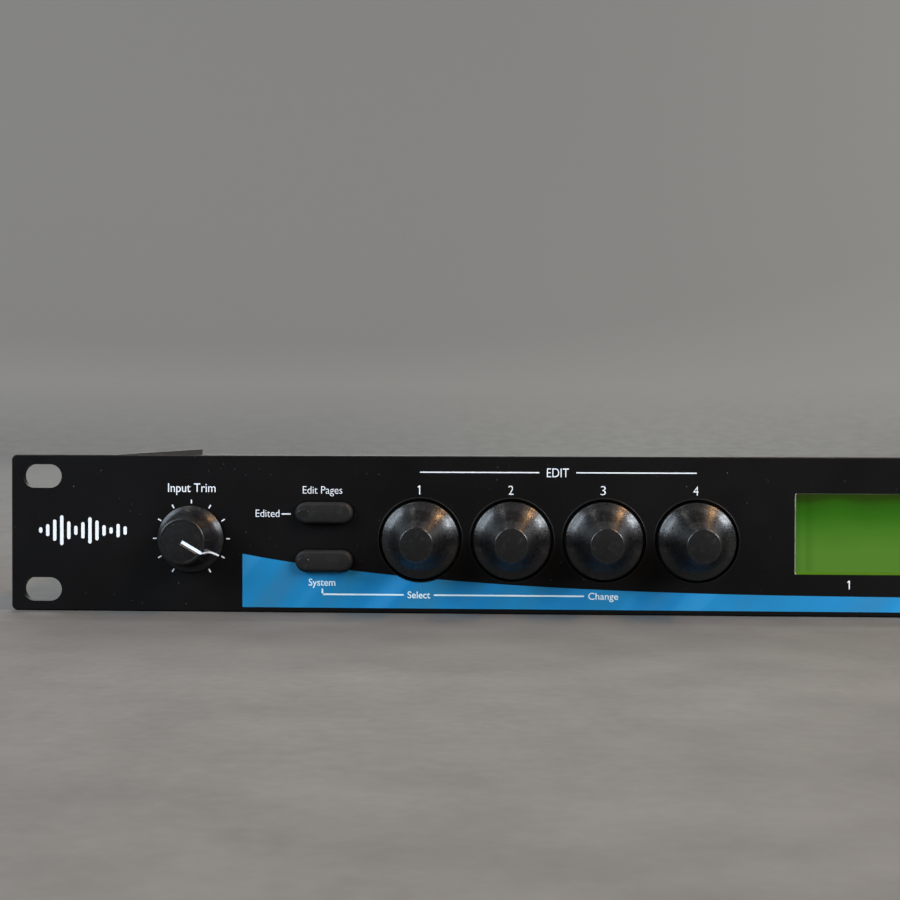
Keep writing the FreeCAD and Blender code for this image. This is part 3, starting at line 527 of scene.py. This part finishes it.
def make_edit_knob(name, node, joint, body):
    """A skirted knob that flares from a narrow boss to a wide rim."""
    axis = axes[joint]
    piece(name, lathe(edit_knob_profile(), axis), knob_plastic, body, [node], axis)
    make_knob_face(name + "_face", axis, 4.25, -knob_reach, body)


for number in range(1, 5):
    make_edit_knob("edit_knob_skirted_%d" % number, "edit_knob_%d" % number, "edit_turn_%d" % number,
                   "edit_control_%d" % number)
make_edit_knob("program_knob_skirted", "program_knob", "program_turn", "program_control")

trim_flank = smooth_through([(9.22, -1.3), (7.9, -2.3), (6.95, -4.2), (6.6, -7.4), (6.34, -11.9)])
trim_face, trim_dish = -12.3, -12.24


def make_trim_knob():
    """A drum with a dished front face and a low flare at its foot."""
    foot = [(0, -9.5), (shaft_fit, -9.5), (shaft_fit, -0.7), (9.05, -0.7), (9.22, -0.87)]
    front = [(6.27, trim_face + 0.17), (6.12, trim_face + 0.04), (5.9, trim_face), (5.62, trim_face),
             (5.42, trim_dish), (5.2, trim_dish), (0, trim_dish)]
    place = axes["trim_turn"]
    made = lathe(foot + trim_flank + front, place)
    piece("trim_knob_drum", made, trim_plastic, "trim_control", ["trim_knob"], place)
    make_knob_face("trim_knob_face", place, 5.38, trim_dish, "trim_control")


pointer_angle = math.radians(-30)
pointer_out = Vector((math.cos(pointer_angle), 0, math.sin(pointer_angle)))
pointer_side = Vector((-math.sin(pointer_angle), 0, math.cos(pointer_angle)))


def on_trim_axis(depth):
    """The point of the trim knob's axis at a depth in mm behind the panel's face."""
    return Vector((axes["trim_turn"].x, face_y + depth * MM, axes["trim_turn"].z))


def make_trim_pointer():
    """A white line inlaid from the middle of the front face, over its edge and down the flank."""
    lift, depth, half_on_face, half_on_flank = 0.05, 0.35, 0.44, 0.27
    path = [(0.0, trim_dish - lift), (5.35, trim_dish - lift), (5.65, trim_face - lift)]
    path += [(6.0, trim_face - lift), (6.34 + lift, trim_face + 0.25)]
    path += [(r + lift, y) for r, y in reversed(trim_flank)]
    loops = []
    for radius, y in path:
        on_face = radius < 6.2
        half = half_on_face if on_face else half_on_flank
        place = on_trim_axis(y) + pointer_out * radius * MM
        inward = Vector((0, depth * MM, 0)) if on_face else pointer_out * -depth * MM
        left, right = place - pointer_side * half * MM, place + pointer_side * half * MM
        loops.append([left, right, right + inward, left + inward])
    piece("trim_pointer", loft(loops), white_ink, "trim_control")


def make_slot_edge():
    """A painted highlight for the lit lower edge of the shallow slot that the pointer is set in."""
    middle = on_trim_axis(trim_dish)
    outline = []
    for radius, offset in rectangle(-0.1, 5.2, -0.85, -0.71):
        p = middle + (pointer_out * radius + pointer_side * offset) * MM
        outline.append((p.x, p.z))
    made = plate(outline, middle.y - 0.04 * MM, middle.y + 0.1 * MM)
    piece("trim_slot_painted_highlight", made, slot_edge_painted_highlight, "trim_control")


make_trim_knob()
make_trim_pointer()
make_slot_edge()


lip_radius = 11.86


def make_hole_edges():
    """The low rounded lip round each knob's hole in the panel."""
    profile = [(lip_radius, 0.02), (11.80, -0.03), (11.72, -0.055), (11.64, -0.06), (11.56, -0.04),
               (11.52, 0.02), (11.52, 1.2), (lip_radius, 1.2)]
    holes = [name for name in axes if name.startswith(("edit_turn", "program_turn"))]
    return joined([ring_of(profile, axes[name], face_y) for name in holes])


piece("knob_hole_edges", make_hole_edges(), cut_edge, "unit")


# ---- keys -------------------------------------------------------------------------------------------

key_length, key_height, key_reach = 16.05, 6.05, 2.6
lens_offset = -5.5


def key_centre(node):
    """The middle of a key's box."""
    low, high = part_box(node)
    return (low + high) / 2


def make_key(node):
    """A rubber key with soft edges, a flange behind the panel and a lens at its left end."""
    c = key_centre(node)
    loops = [stadium(c, 13.0, 3.4, 7.2), stadium(c, 13.0, 3.4, 3.6), stadium(c, 17.65, 7.65, 3.6),
             stadium(c, 17.65, 7.65, 2.6), stadium(c, key_length, key_height, 2.6),
             stadium(c, key_length, key_height, -key_reach + 1.2)]
    soft, edge_steps = 1.0, 7
    for i in range(1, edge_steps + 1):
        a = math.pi / 2 * i / edge_steps
        inset = soft * (1 - math.cos(a))
        depth = -key_reach + 1.2 - 1.1 * math.sin(a)
        loops.append(stadium(c, key_length - 2 * inset, key_height - 2 * inset, depth))
    loops.append(stadium(c, key_length - 5, key_height - 5, -key_reach + 0.02))
    piece(node + "_cap", loft(loops), key_silicone, node, [node])
    lens_at = Vector((c.x + lens_offset * MM, 0, c.z))
    front, rear = -key_reach - 0.02, -key_reach + 0.4
    rims = [stadium(lens_at, 3.1, 1.75, rear, 6), stadium(lens_at, 3.1, 1.75, front + 0.08, 6),
            stadium(lens_at, 2.9, 1.55, front, 6)]
    piece(node + "_lens", loft(rims), smoked_lens, node)


key_nodes = [body for body in frame["bodies"] if body.startswith("key_")]
for node in key_nodes:
    make_key(node)


# ---- printed lettering, lines and graphics ----------------------------------------------------------

white_ink_height = 0.06
blue_ink_height = 0.03


def flat_print(outline, height):
    """Ink of that outline, (from left, height) in mm, on the panel face."""
    points = [spot(x, 0, z) for x, z in outline]
    return plate([(p.x, p.z) for p in points], face_y - height * MM, face_y + height * MM)


def bar(x0, x1, z0, z1):
    """A white bar on the panel face, between two distances from its left end and two heights, in mm."""
    return flat_print(rectangle(x0, x1, z0, z1), white_ink_height)


def letters(text, weight=0.0):
    """Text in the built-in typeface, lying flat at the origin. A weight below 0 thins its strokes."""
    curve = bpy.data.curves.new("letters", "FONT")
    curve.body = text
    curve.offset = weight
    curve.extrude = 1.0
    curve.resolution_u = 6
    temporary = bpy.data.objects.new("letters", curve)
    bpy.context.scene.collection.objects.link(temporary)
    bpy.context.view_layer.update()
    mesh = bpy.data.meshes.new_from_object(temporary)
    bpy.data.objects.remove(temporary)
    return mesh


def span(mesh, axis):
    """The lowest and the highest value of a mesh's points on one axis."""
    values = [v.co[axis] for v in mesh.vertices]
    return min(values), max(values)


def lettering(text, width, cap, place, across, outward, weight=0.0):
    """Words as thin ink. The place is the baseline's left end, and a capital is cap mm high."""
    first_low, first_high = span(letters(text[0], weight), 1)
    mesh = letters(text, weight)
    low, high = span(mesh, 0)
    for v in mesh.vertices:
        x = (v.co.x - low) * width / (high - low)
        z = v.co.y * cap / (first_high - first_low)
        v.co = place + (across * x + Vector((0, 0, z)) + outward * v.co.z * white_ink_height) * MM
    made = bmesh.new()
    made.from_mesh(mesh)
    bpy.data.meshes.remove(mesh)
    bmesh.ops.recalc_face_normals(made, faces=made.faces)
    return made


def words(text, left, right, baseline, cap, weight=0.0):
    """Printed words between two distances from the panel's left end, in mm."""
    place = spot(left, 0, baseline)
    return lettering(text, right - left, cap, place, Vector((1, 0, 0)), Vector((0, -1, 0)), weight)


def centred(text, middle, baseline, cap, width, weight=0.0):
    """Printed words about a middle, which is in mm from the panel's left end."""
    return words(text, middle - width / 2, middle + width / 2, baseline, cap, weight)


def figure_one(middle, baseline, cap):
    """The figure 1 with a small flag, which the built-in typeface lacks."""
    stem, flag = 0.29, 0.42
    left, right, top = middle - stem / 2 + 0.1, middle + stem / 2 + 0.1, baseline + cap
    outline = [(left, baseline), (right, baseline), (right, top), (left + 0.08, top),
               (left - flag, top - 0.42), (left - flag + 0.12, top - 0.7), (left, top - 0.46)]
    return flat_print(outline, white_ink_height)


def numeral(number, middle, baseline, cap):
    """A printed figure about a middle, which is in mm from the panel's left end."""
    if number == 1:
        return figure_one(middle, baseline, cap)
    return centred(str(number), middle, baseline, cap, 1.42, -0.010)


def from_left(point):
    """How far a point is from the panel's left end, in mm."""
    return point.x / MM - panel_left


def make_lettering():
    """All white words, figures and lines on the panel, apart from the trim knob's scale."""
    marks = [words("Input Trim", 44.4, 57.8, 33.4, 2.42),
             words("Edit Pages", 82.3, 93.35, 33.1, 2.04, -0.009),
             words("Edited", 69.1, 75.75, 26.55, 2.0, -0.007), bar(76.4, 78.95, 27.23, 27.59),
             bar(115.0, 148.0, 39.04, 39.36), words("EDIT", 150.1, 156.15, 37.95, 2.42, -0.004),
             bar(158.2, 191.2, 39.04, 39.36)]
    window_left = from_left(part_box("display_window")[0]) + 2
    for number in range(1, 5):
        knob_middle = from_left(axes["edit_turn_%d" % number]) - 0.3
        marks.append(numeral(number, knob_middle, 33.05, 2.5))
        marks.append(numeral(number, window_left + 14.85 + 19.45 * (number - 1), 7.6, 2.4))
    for node, label, width in (("key_load", "Load", 5.2), ("key_store", "Store", 5.8),
                               ("key_tap", "Tap", 4.2), ("key_bypass", "Bypass", 7.4)):
        c = key_centre(node)
        baseline = 33.1 if c.z > 20 * MM else 7.6
        marks.append(centred(label, from_left(c), baseline, 2.0, width))
    marks.append(centred("Program", from_left(axes["program_turn"]), 35.4, 2.2, 10.0))
    switch = from_left(axes["power_rock"])
    marks.append(centred("Power", switch, 35.6, 2.2, 7.0))
    marks += meter_marks()
    return marks


def make_band_lettering():
    """The words and the bracket of lines on the blue band."""
    return [words("System", 83.95, 91.45, 7.5, 2.0, 0.010), bar(87.62, 88.04, 4.9, 6.7),
            bar(87.62, 110.5, 4.88, 5.32), words("Select", 111.6, 117.9, 4.2, 1.95, 0.010),
            bar(118.9, 160.45, 4.88, 5.32), words("Change", 161.6, 169.85, 4.2, 1.95, 0.006)]


def meter_marks():
    """The level scale beside the lamps."""
    low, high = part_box("meter_leds")
    left, right = from_left(low), from_left(high)
    top, pitch = high.z / MM - 1.1, 5.2
    marks = [centred("L", left + 1.1, 36.6, 1.8, 0.9), centred("R", right - 1.1, 36.6, 1.8, 1.2)]
    for i, label in enumerate(("0", "3", "6", "24", "48")):
        z = top - pitch * i
        width = 0.95 * len(label)
        marks.append(words(label, right + 2.4, right + 2.4 + width, z - 0.75, 1.5))
        marks.append(bar(right + 0.7, right + 1.6, z - 0.15, z + 0.15))
    return marks


def make_trim_scale():
    """Eleven ticks from seven o'clock round to five o'clock."""
    centre = axes["trim_turn"]
    ticks = []
    for i in range(11):
        a = math.radians(240 - 30 * i)
        out = Vector((math.cos(a), math.sin(a)))
        side = Vector((-math.sin(a), math.cos(a)))
        corners = []
        for radius, offset in rectangle(9.8, 10.85, -0.17, 0.17):
            p = out * radius * MM + side * offset * MM
            corners.append((centre.x + p.x, centre.z + p.y))
        ticks.append(plate(corners, face_y - white_ink_height * MM, face_y))
    return ticks


def make_badge():
    """A wordless badge: a row of upright bars, tall and short like a sound wave."""
    heights = [1.6, 3.4, 6.0, 8.4, 5.0, 2.6, 4.6, 7.4, 5.6, 3.0, 1.8, 3.8, 2.4]
    pitch, width, left, middle = 2.0, 0.95, 7.8, 22.5
    bars = []
    for i, height in enumerate(heights):
        x = left + width / 2 + pitch * i
        c = spot(x, 0, middle)
        upright = stadium(Vector((0, 0, 0)), height, width, 0, 6)
        outline = [(c.x + p.z, c.z + p.x) for p in upright]
        bars.append(plate(outline, face_y - white_ink_height * MM, face_y))
    return bars


def make_band():
    """The blue band: high at its left end, falling away in a long curve and then level."""
    left, right, bottom = 65.4, 417.2, 1.35
    level, rise = 5.4, 10.84
    top = []
    steps, crowding = 72, 1.5
    for i in range(steps + 1):
        u = (right - left) * (i / steps) ** crowding
        top.append((left + u, level + rise * math.exp(-u * (0.0171 + 2.8e-7 * u * u))))
    outline = [(right, bottom), (left, bottom)] + top
    band = piece("blue_band", flat_print(outline, blue_ink_height), blue_ink, "unit")
    c = key_centre("key_system")
    gap = 0.25
    holes = [loft([stadium(c, key_length + 2 * gap, key_height + 2 * gap, d) for d in (-1, 1)])]
    holes.append(lathe([(0, -1), (lip_radius, -1), (lip_radius, 1), (0, 1)], axes["edit_turn_1"]))
    cut(band, holes)


piece("white_print", joined(make_lettering() + make_trim_scale()), white_ink, "unit")
piece("band_print", joined(make_band_lettering()), band_ink, "unit")
piece("wave_badge", joined(make_badge()), white_ink, "unit")
make_band()


# ---- screws, threads and lettering at the rear, and marks on the rocker -----------------------------

def solids_of(node):
    """The low and high corners of each separate solid in a node's mesh, from left to right."""
    made = bmesh.new()
    made.from_mesh(frame["nodes"][node].data)
    bmesh.ops.remove_doubles(made, verts=made.verts, dist=1e-6)
    waiting = set(made.verts)
    found = []
    while waiting:
        edge = [waiting.pop()]
        points = []
        while edge:
            v = edge.pop()
            points.append(v.co.copy())
            for link in v.link_edges:
                other = link.other_vert(v)
                if other in waiting:
                    waiting.remove(other)
                    edge.append(other)
        low, high = [Vector([pick(p[k] for p in points) for k in range(3)]) for pick in (min, max)]
        found.append((low, high))
    made.free()
    return sorted(found, key=lambda corners: tuple(corners[0]))


head_height = 1.6


def make_screw():
    """A pan-head screw with a cross recess, pointing rearward from the origin. Returns a bmesh."""
    profile = [(0, -head_height), (1.5, -head_height), (2.2, -1.5), (2.6, -1.2), (2.78, -0.8), (2.8, -0.4),
               (2.8, 0.0), (1.2, 0.0), (1.2, 3.8), (0, 3.8)]
    obj = bpy.data.objects.new("screw", bpy.data.meshes.new("screw"))
    made = lathe(profile, Vector((0, 0, 0)), 32, 0)
    made.to_mesh(obj.data)
    made.free()
    bpy.context.scene.collection.objects.link(obj)
    slots = []
    for half_x, half_z in ((1.6, 0.3), (0.3, 1.6)):
        loops = [[Vector((x * scale * MM, y * MM, z * scale * MM)) for x, z in
                  rectangle(-half_x, half_x, -half_z, half_z)]
                 for scale, y in ((1.1, -2.0), (1.0, -1.5), (0.55, -0.45))]
        slots.append(loft(loops))
    cut(obj, slots)
    made = bmesh.new()
    made.from_mesh(obj.data)
    bpy.data.objects.remove(obj)
    return made


def make_screws(name, node):
    """A detailed screw in place of each of the node's screws, each turned to its own angle."""
    template = make_screw()
    screws = []
    for low, high in solids_of(node):
        seat = (low + high) / 2
        if high.y > rear_y + 1 * MM:
            outward = Vector((0, 1, 0))
            seat.y = high.y - head_height * MM
        else:
            outward = Vector((math.copysign(1, seat.x), 0, 0))
            seat.x = outward.x * side_x
        turn = Matrix.Rotation(math.atan2(outward.x, -outward.y), 4, "Z")
        spin = Matrix.Rotation(random.uniform(0, math.pi / 2), 4, "Y")
        made = template.copy()
        made.transform(Matrix.Translation(seat) @ turn @ spin)
        screws.append(made)
    template.free()
    piece(name, joined(screws), black_oxide, "unit", [node])


def make_threads():
    """The threaded metal noses that stand out of the jacks' nuts."""
    thread = []
    for i in range(5):
        thread += [(4.66, 2.1 + 0.4 * i), (4.53, 2.3 + 0.4 * i)]
    profile = thread + [(4.4, 4.06), (3.75, 4.06), (3.65, 3.96), (3.65, 2.1)]
    return joined([ring_of(profile, (low + high) / 2, rear_y, 64) for low, high in solids_of("jack_nuts")])


def rear_words(text, middle, baseline, cap, width):
    """Words on the rear wall, read from behind. The middle is in mm from the unit's middle."""
    place = Vector(((middle + width / 2) * MM, rear_y, baseline * MM))
    return lettering(text, width, cap, place, Vector((-1, 0, 0)), Vector((0, 1, 0)))


def make_rear_lettering():
    """Plain names for the sockets, with a line over each pair."""
    cap, low_row, high_row, line_z, line_half = 1.9, 30.0, 34.6, 33.3, 0.14
    marks = [rear_words("POWER", 180, high_row, cap, 7.6),
             rear_words("FOOTSWITCH", -22, low_row, cap, 15.0)]
    for group, width, left, left_name, right, right_name in (
            ("CONTROL", 10.6, 96, "IN", 66, "OUT"), ("DIGITAL", 9.2, 32, "OUT", 12, "IN"),
            ("OUTPUTS", 10.8, -62, "R", -90, "L"), ("INPUTS", 8.6, -130, "R", -158, "L")):
        marks.append(rear_words(group, (left + right) / 2, high_row, cap, width))
        for x, label in ((left, left_name), (right, right_name)):
            marks.append(rear_words(label, x, low_row, cap, 1.45 * len(label) - 0.15))
        line = rectangle((right - 2.5) * MM, (left + 2.5) * MM,
                         (line_z - line_half) * MM, (line_z + line_half) * MM)
        marks.append(plate(line, rear_y, rear_y + white_ink_height * MM))
    return marks


def on_rocker(x, z, lift):
    """The point of the rocker's front at that place, moved out by the lift in mm."""
    start = Vector((x, face_y - 20 * MM, z))
    place = frame["nodes"]["power_rocker"].ray_cast(start, Vector((0, 1, 0)))[1]
    return place - Vector((0, lift * MM, 0))


mark_lift, mark_root = 0.05, -0.2


def make_rocker_marks():
    """A bar at the top for on and a ring at the bottom for off."""
    low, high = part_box("power_rocker")
    x, middle = (low.x + high.x) / 2, (low.z + high.z) / 2
    half_width, half_height, away = 0.28 * MM, 1.3 * MM, 5.2 * MM
    corners = rectangle(x - half_width, x + half_width,
                        middle + away - half_height, middle + away + half_height)
    upright = loft([[on_rocker(px, pz, lift) for px, pz in corners] for lift in (mark_lift, mark_root)])
    foot = Vector((x, 0, middle - away))
    section = [(1.4, mark_lift), (0.95, mark_lift), (0.95, mark_root), (1.4, mark_root), (1.4, mark_lift)]
    loops = [[on_rocker(p.x, p.z, lift) for p in circle(foot, radius, 0, 32)] for radius, lift in section]
    return joined([upright, welded(loft(loops, False, False))])


make_screws("cover_screw_heads", "cover_screws")
make_screws("rear_screw_heads", "rear_screws")
piece("jack_threads", make_threads(), nickel, "unit")
piece("rear_print", joined(make_rear_lettering()), white_ink, "unit")
piece("rocker_marks", make_rocker_marks(), white_ink, "power_rocker")


# ---- display window edge ----------------------------------------------------------------------------

def make_window_edges():
    """The clear window's edges in painted light: a pale painted highlight at the left end, an olive painted
    highlight along the top, a painted glow at the foot and painted glints at the two left corners.
    """
    low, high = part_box("display_window")
    inset = window_lip * MM
    x0, x1, z0, z1 = low.x + inset, high.x - inset, low.z + inset, high.z - inset
    pale_end = x0 + 0.3 * MM
    front, back = face_y + 0.12 * MM, face_y + 0.7 * MM

    def strip(left, right, bottom, top, recess):
        return plate(rectangle(left, right, bottom, top), front + recess * MM, back)

    # Painted highlight on the window's left end edge.
    pale = finish("end_edge_painted_highlight", (0.20, 0.23, 0.17), 0.3, spread=0.3, mottle_mm=3, relief_mm=0.0005)
    # Painted highlight along the window's top edge.
    olive = finish("top_edge_painted_highlight", (0.045, 0.070, 0.025), 0.4, spread=0.3, mottle_mm=8, relief_mm=0.0005)
    # Painted glow along the window's foot.
    painted_glow = finish("foot_edge_painted_glow", (0.010, 0.020, 0.003), 0.4, relief_mm=0.0005, gloss_level=0.1)
    shader = tree_of(painted_glow)[1]
    shader.inputs["Emission Color"].default_value = (0.072, 0.175, 0.006, 1)
    shader.inputs["Emission Strength"].default_value = 1.0
    piece("window_end_painted_highlight", strip(x0, pale_end, z0, z1, 0), pale, "unit")
    piece("window_top_painted_highlight", strip(pale_end, x1, z1 - 0.2 * MM, z1, 0.02), olive, "unit")
    piece("window_foot_painted_glow", strip(pale_end, x1, z0, z0 + 0.78 * MM, 0.3), painted_glow, "unit")
    # Painted glints at the window's two left corners.
    corner_glint = finish("corner_painted_glint", (0.42, 0.44, 0.38), 0.3, relief_mm=0.0005)
    size = 0.36 * MM
    corners = [strip(x0 - 0.02 * MM, x0 + 0.4 * MM, z, z + size, -0.05) for z in (z0, z1 - size)]
    piece("window_corner_painted_glints", joined(corners), corner_glint, "unit")


make_window_edges()


# ---- stage, light and camera ------------------------------------------------------------------------

def make_stage_finish():
    """Matte grey, darker and mottled on the floor, most of all at its left, and plain higher up."""
    wall = (0.147, 0.145, 0.142)
    material = finish("pale_stage", wall, 0.8, relief_mm=0.01, grain_mm=1.5, gloss_level=0.2)
    tree, shader = tree_of(material)
    coords, parts = place_on(tree)
    height = mapped(tree, parts["Z"], 0, 1, 0.0, 0.14)
    across = mapped(tree, parts["X"], 0, 1, -0.45, 0.10)
    floor = blended(tree, across, (0.094, 0.0970, 0.0970), (0.124, 0.127, 0.1215))
    stain = mapped(tree, noise(tree, coords, 24, 8.0), 0, 0.36)
    floor = blended(tree, stain, floor, (0.050, 0.051, 0.050))
    tone = blended(tree, height, floor, wall)
    tree.links.new(tone, shader.inputs["Base Color"])
    return material


def make_stage():
    """A pale studio floor that rises softly into a wall all round, far from the unit."""
    flat, bend, top, steps, bend_steps, below = 1.9, 1.3, 3.4, 96, 16, 0.0001
    line = [(flat / 2, 0.0), (flat, 0.0)]
    for i in range(1, bend_steps + 1):
        a = math.pi / 2 * i / bend_steps
        line.append((flat + bend * math.sin(a), bend - bend * math.cos(a)))
    line.append((flat + bend, top))
    angles = [FULL_TURN * i / steps for i in range(steps)]
    loops = [[Vector((0, 0, -below))]]
    for radius, height in line:
        loops.append([Vector((radius * math.cos(a), radius * math.sin(a), height - below)) for a in angles])
    mesh = bpy.data.meshes.new("sweep")
    made = loft(loops, False, False)
    made.to_mesh(mesh)
    made.free()
    for f in mesh.polygons:
        f.use_smooth = True
    sweep = bpy.data.objects.new("sweep", mesh)
    bpy.context.scene.collection.objects.link(sweep)
    mesh.materials.append(make_stage_finish())


def area_light(name, place, aim, width, height, watts, colour, roll=0.0):
    """A rectangular light that shines towards aim, rolled about its own axis."""
    data = bpy.data.lights.new(name, "AREA")
    data.shape = "RECTANGLE"
    data.size, data.size_y = width, height
    data.energy = watts
    data.color = colour
    lamp = bpy.data.objects.new(name, data)
    lamp.location = place
    facing = (Vector(aim) - Vector(place)).to_track_quat("-Z", "Y").to_matrix()
    lamp.rotation_euler = (facing @ Matrix.Rotation(roll, 3, "Z")).to_euler()
    lamp.visible_camera = False
    bpy.context.scene.collection.objects.link(lamp)


def make_lights():
    """Two soft boxes, a narrow warm strip at the upper right, washes for the walls, and dim fill."""
    middle = Vector((-0.08, face_y, 0.03))

    def around(name, clock_deg, off_axis_deg, distance, length, width, watts, colour):
        """A light at an angle round the panel's axis and an angle off that axis, its length radial."""
        clock, off_axis = math.radians(clock_deg), math.radians(off_axis_deg)
        direction = Vector((math.sin(off_axis) * math.cos(clock), -math.cos(off_axis),
                            math.sin(off_axis) * math.sin(clock)))
        radial = Vector((math.cos(off_axis) * math.cos(clock), math.sin(off_axis),
                         math.cos(off_axis) * math.sin(clock)))
        plain = (-direction).to_track_quat("-Z", "Y").to_matrix().transposed() @ radial
        roll = math.atan2(plain.y, plain.x)
        area_light(name, middle + direction * distance, middle, length, width, watts, colour, roll)

    around("left_box", 148, 63, 1.5, 1.2, 0.85, 22.5, (0.76, 0.88, 1.0))
    around("right_box", 31, 62, 1.5, 1.2, 0.40, 25.5, (0.87, 0.93, 1.0))
    around("warm_strip", 54, 77, 1.2, 1.2, 0.08, 12.0, (1.0, 0.54, 0.24))
    area_light("cool_wall_wash", (-1.0, 0.9, 2.2), (-1.0, 3.2, 0.7), 1.7, 0.6, 40, (0.92, 0.99, 1.0))
    area_light("warm_wall_wash", (1.1, 0.9, 2.2), (1.1, 3.2, 0.7), 1.7, 0.6, 74, (1.0, 0.955, 0.90))
    area_light("front_wash", (0.0, -1.4, 2.2), (0, -3.2, 0.7), 3.0, 0.6, 30, (1.0, 0.99, 0.97))
    for side, name in ((-1, "left_wash"), (1, "right_wash")):
        area_light(name, (side * 0.9, 0.0, 2.2), (side * 3.2, 0, 0.7), 3.0, 0.6, 32, (1.0, 0.99, 0.97))
    area_light("rear_fill", (-0.5, 1.8, 1.3), (0, 0, 0), 1.6, 1.0, 26, (1.0, 0.98, 0.95))
    world = bpy.data.worlds.new("room")
    bpy.context.scene.world = world
    world.use_nodes = True
    background = world.node_tree.nodes["Background"]
    background.inputs["Color"].default_value = (0.50, 0.51, 0.53, 1)
    background.inputs["Strength"].default_value = 0.22


def make_camera():
    """Just above the unit, a little left of its middle, near the panel."""
    data = bpy.data.cameras.new("camera")
    data.lens = 59.5
    data.sensor_width = 36.0
    data.clip_start, data.clip_end = 0.01, 50
    camera = bpy.data.objects.new("camera", data)
    camera.location = spot(143.2, -411.4, 51.2)
    turn_left, look_down, roll = math.radians(2.77), math.radians(0.81), math.radians(0.15)
    level = Matrix.Rotation(turn_left, 3, "Z") @ Matrix.Rotation(math.pi / 2 - look_down, 3, "X")
    camera.rotation_euler = (level @ Matrix.Rotation(roll, 3, "Z")).to_euler()
    bpy.context.scene.collection.objects.link(camera)
    bpy.context.scene.camera = camera


make_stage()
make_lights()
make_camera()
bpy.context.scene.view_settings.view_transform = "Standard"
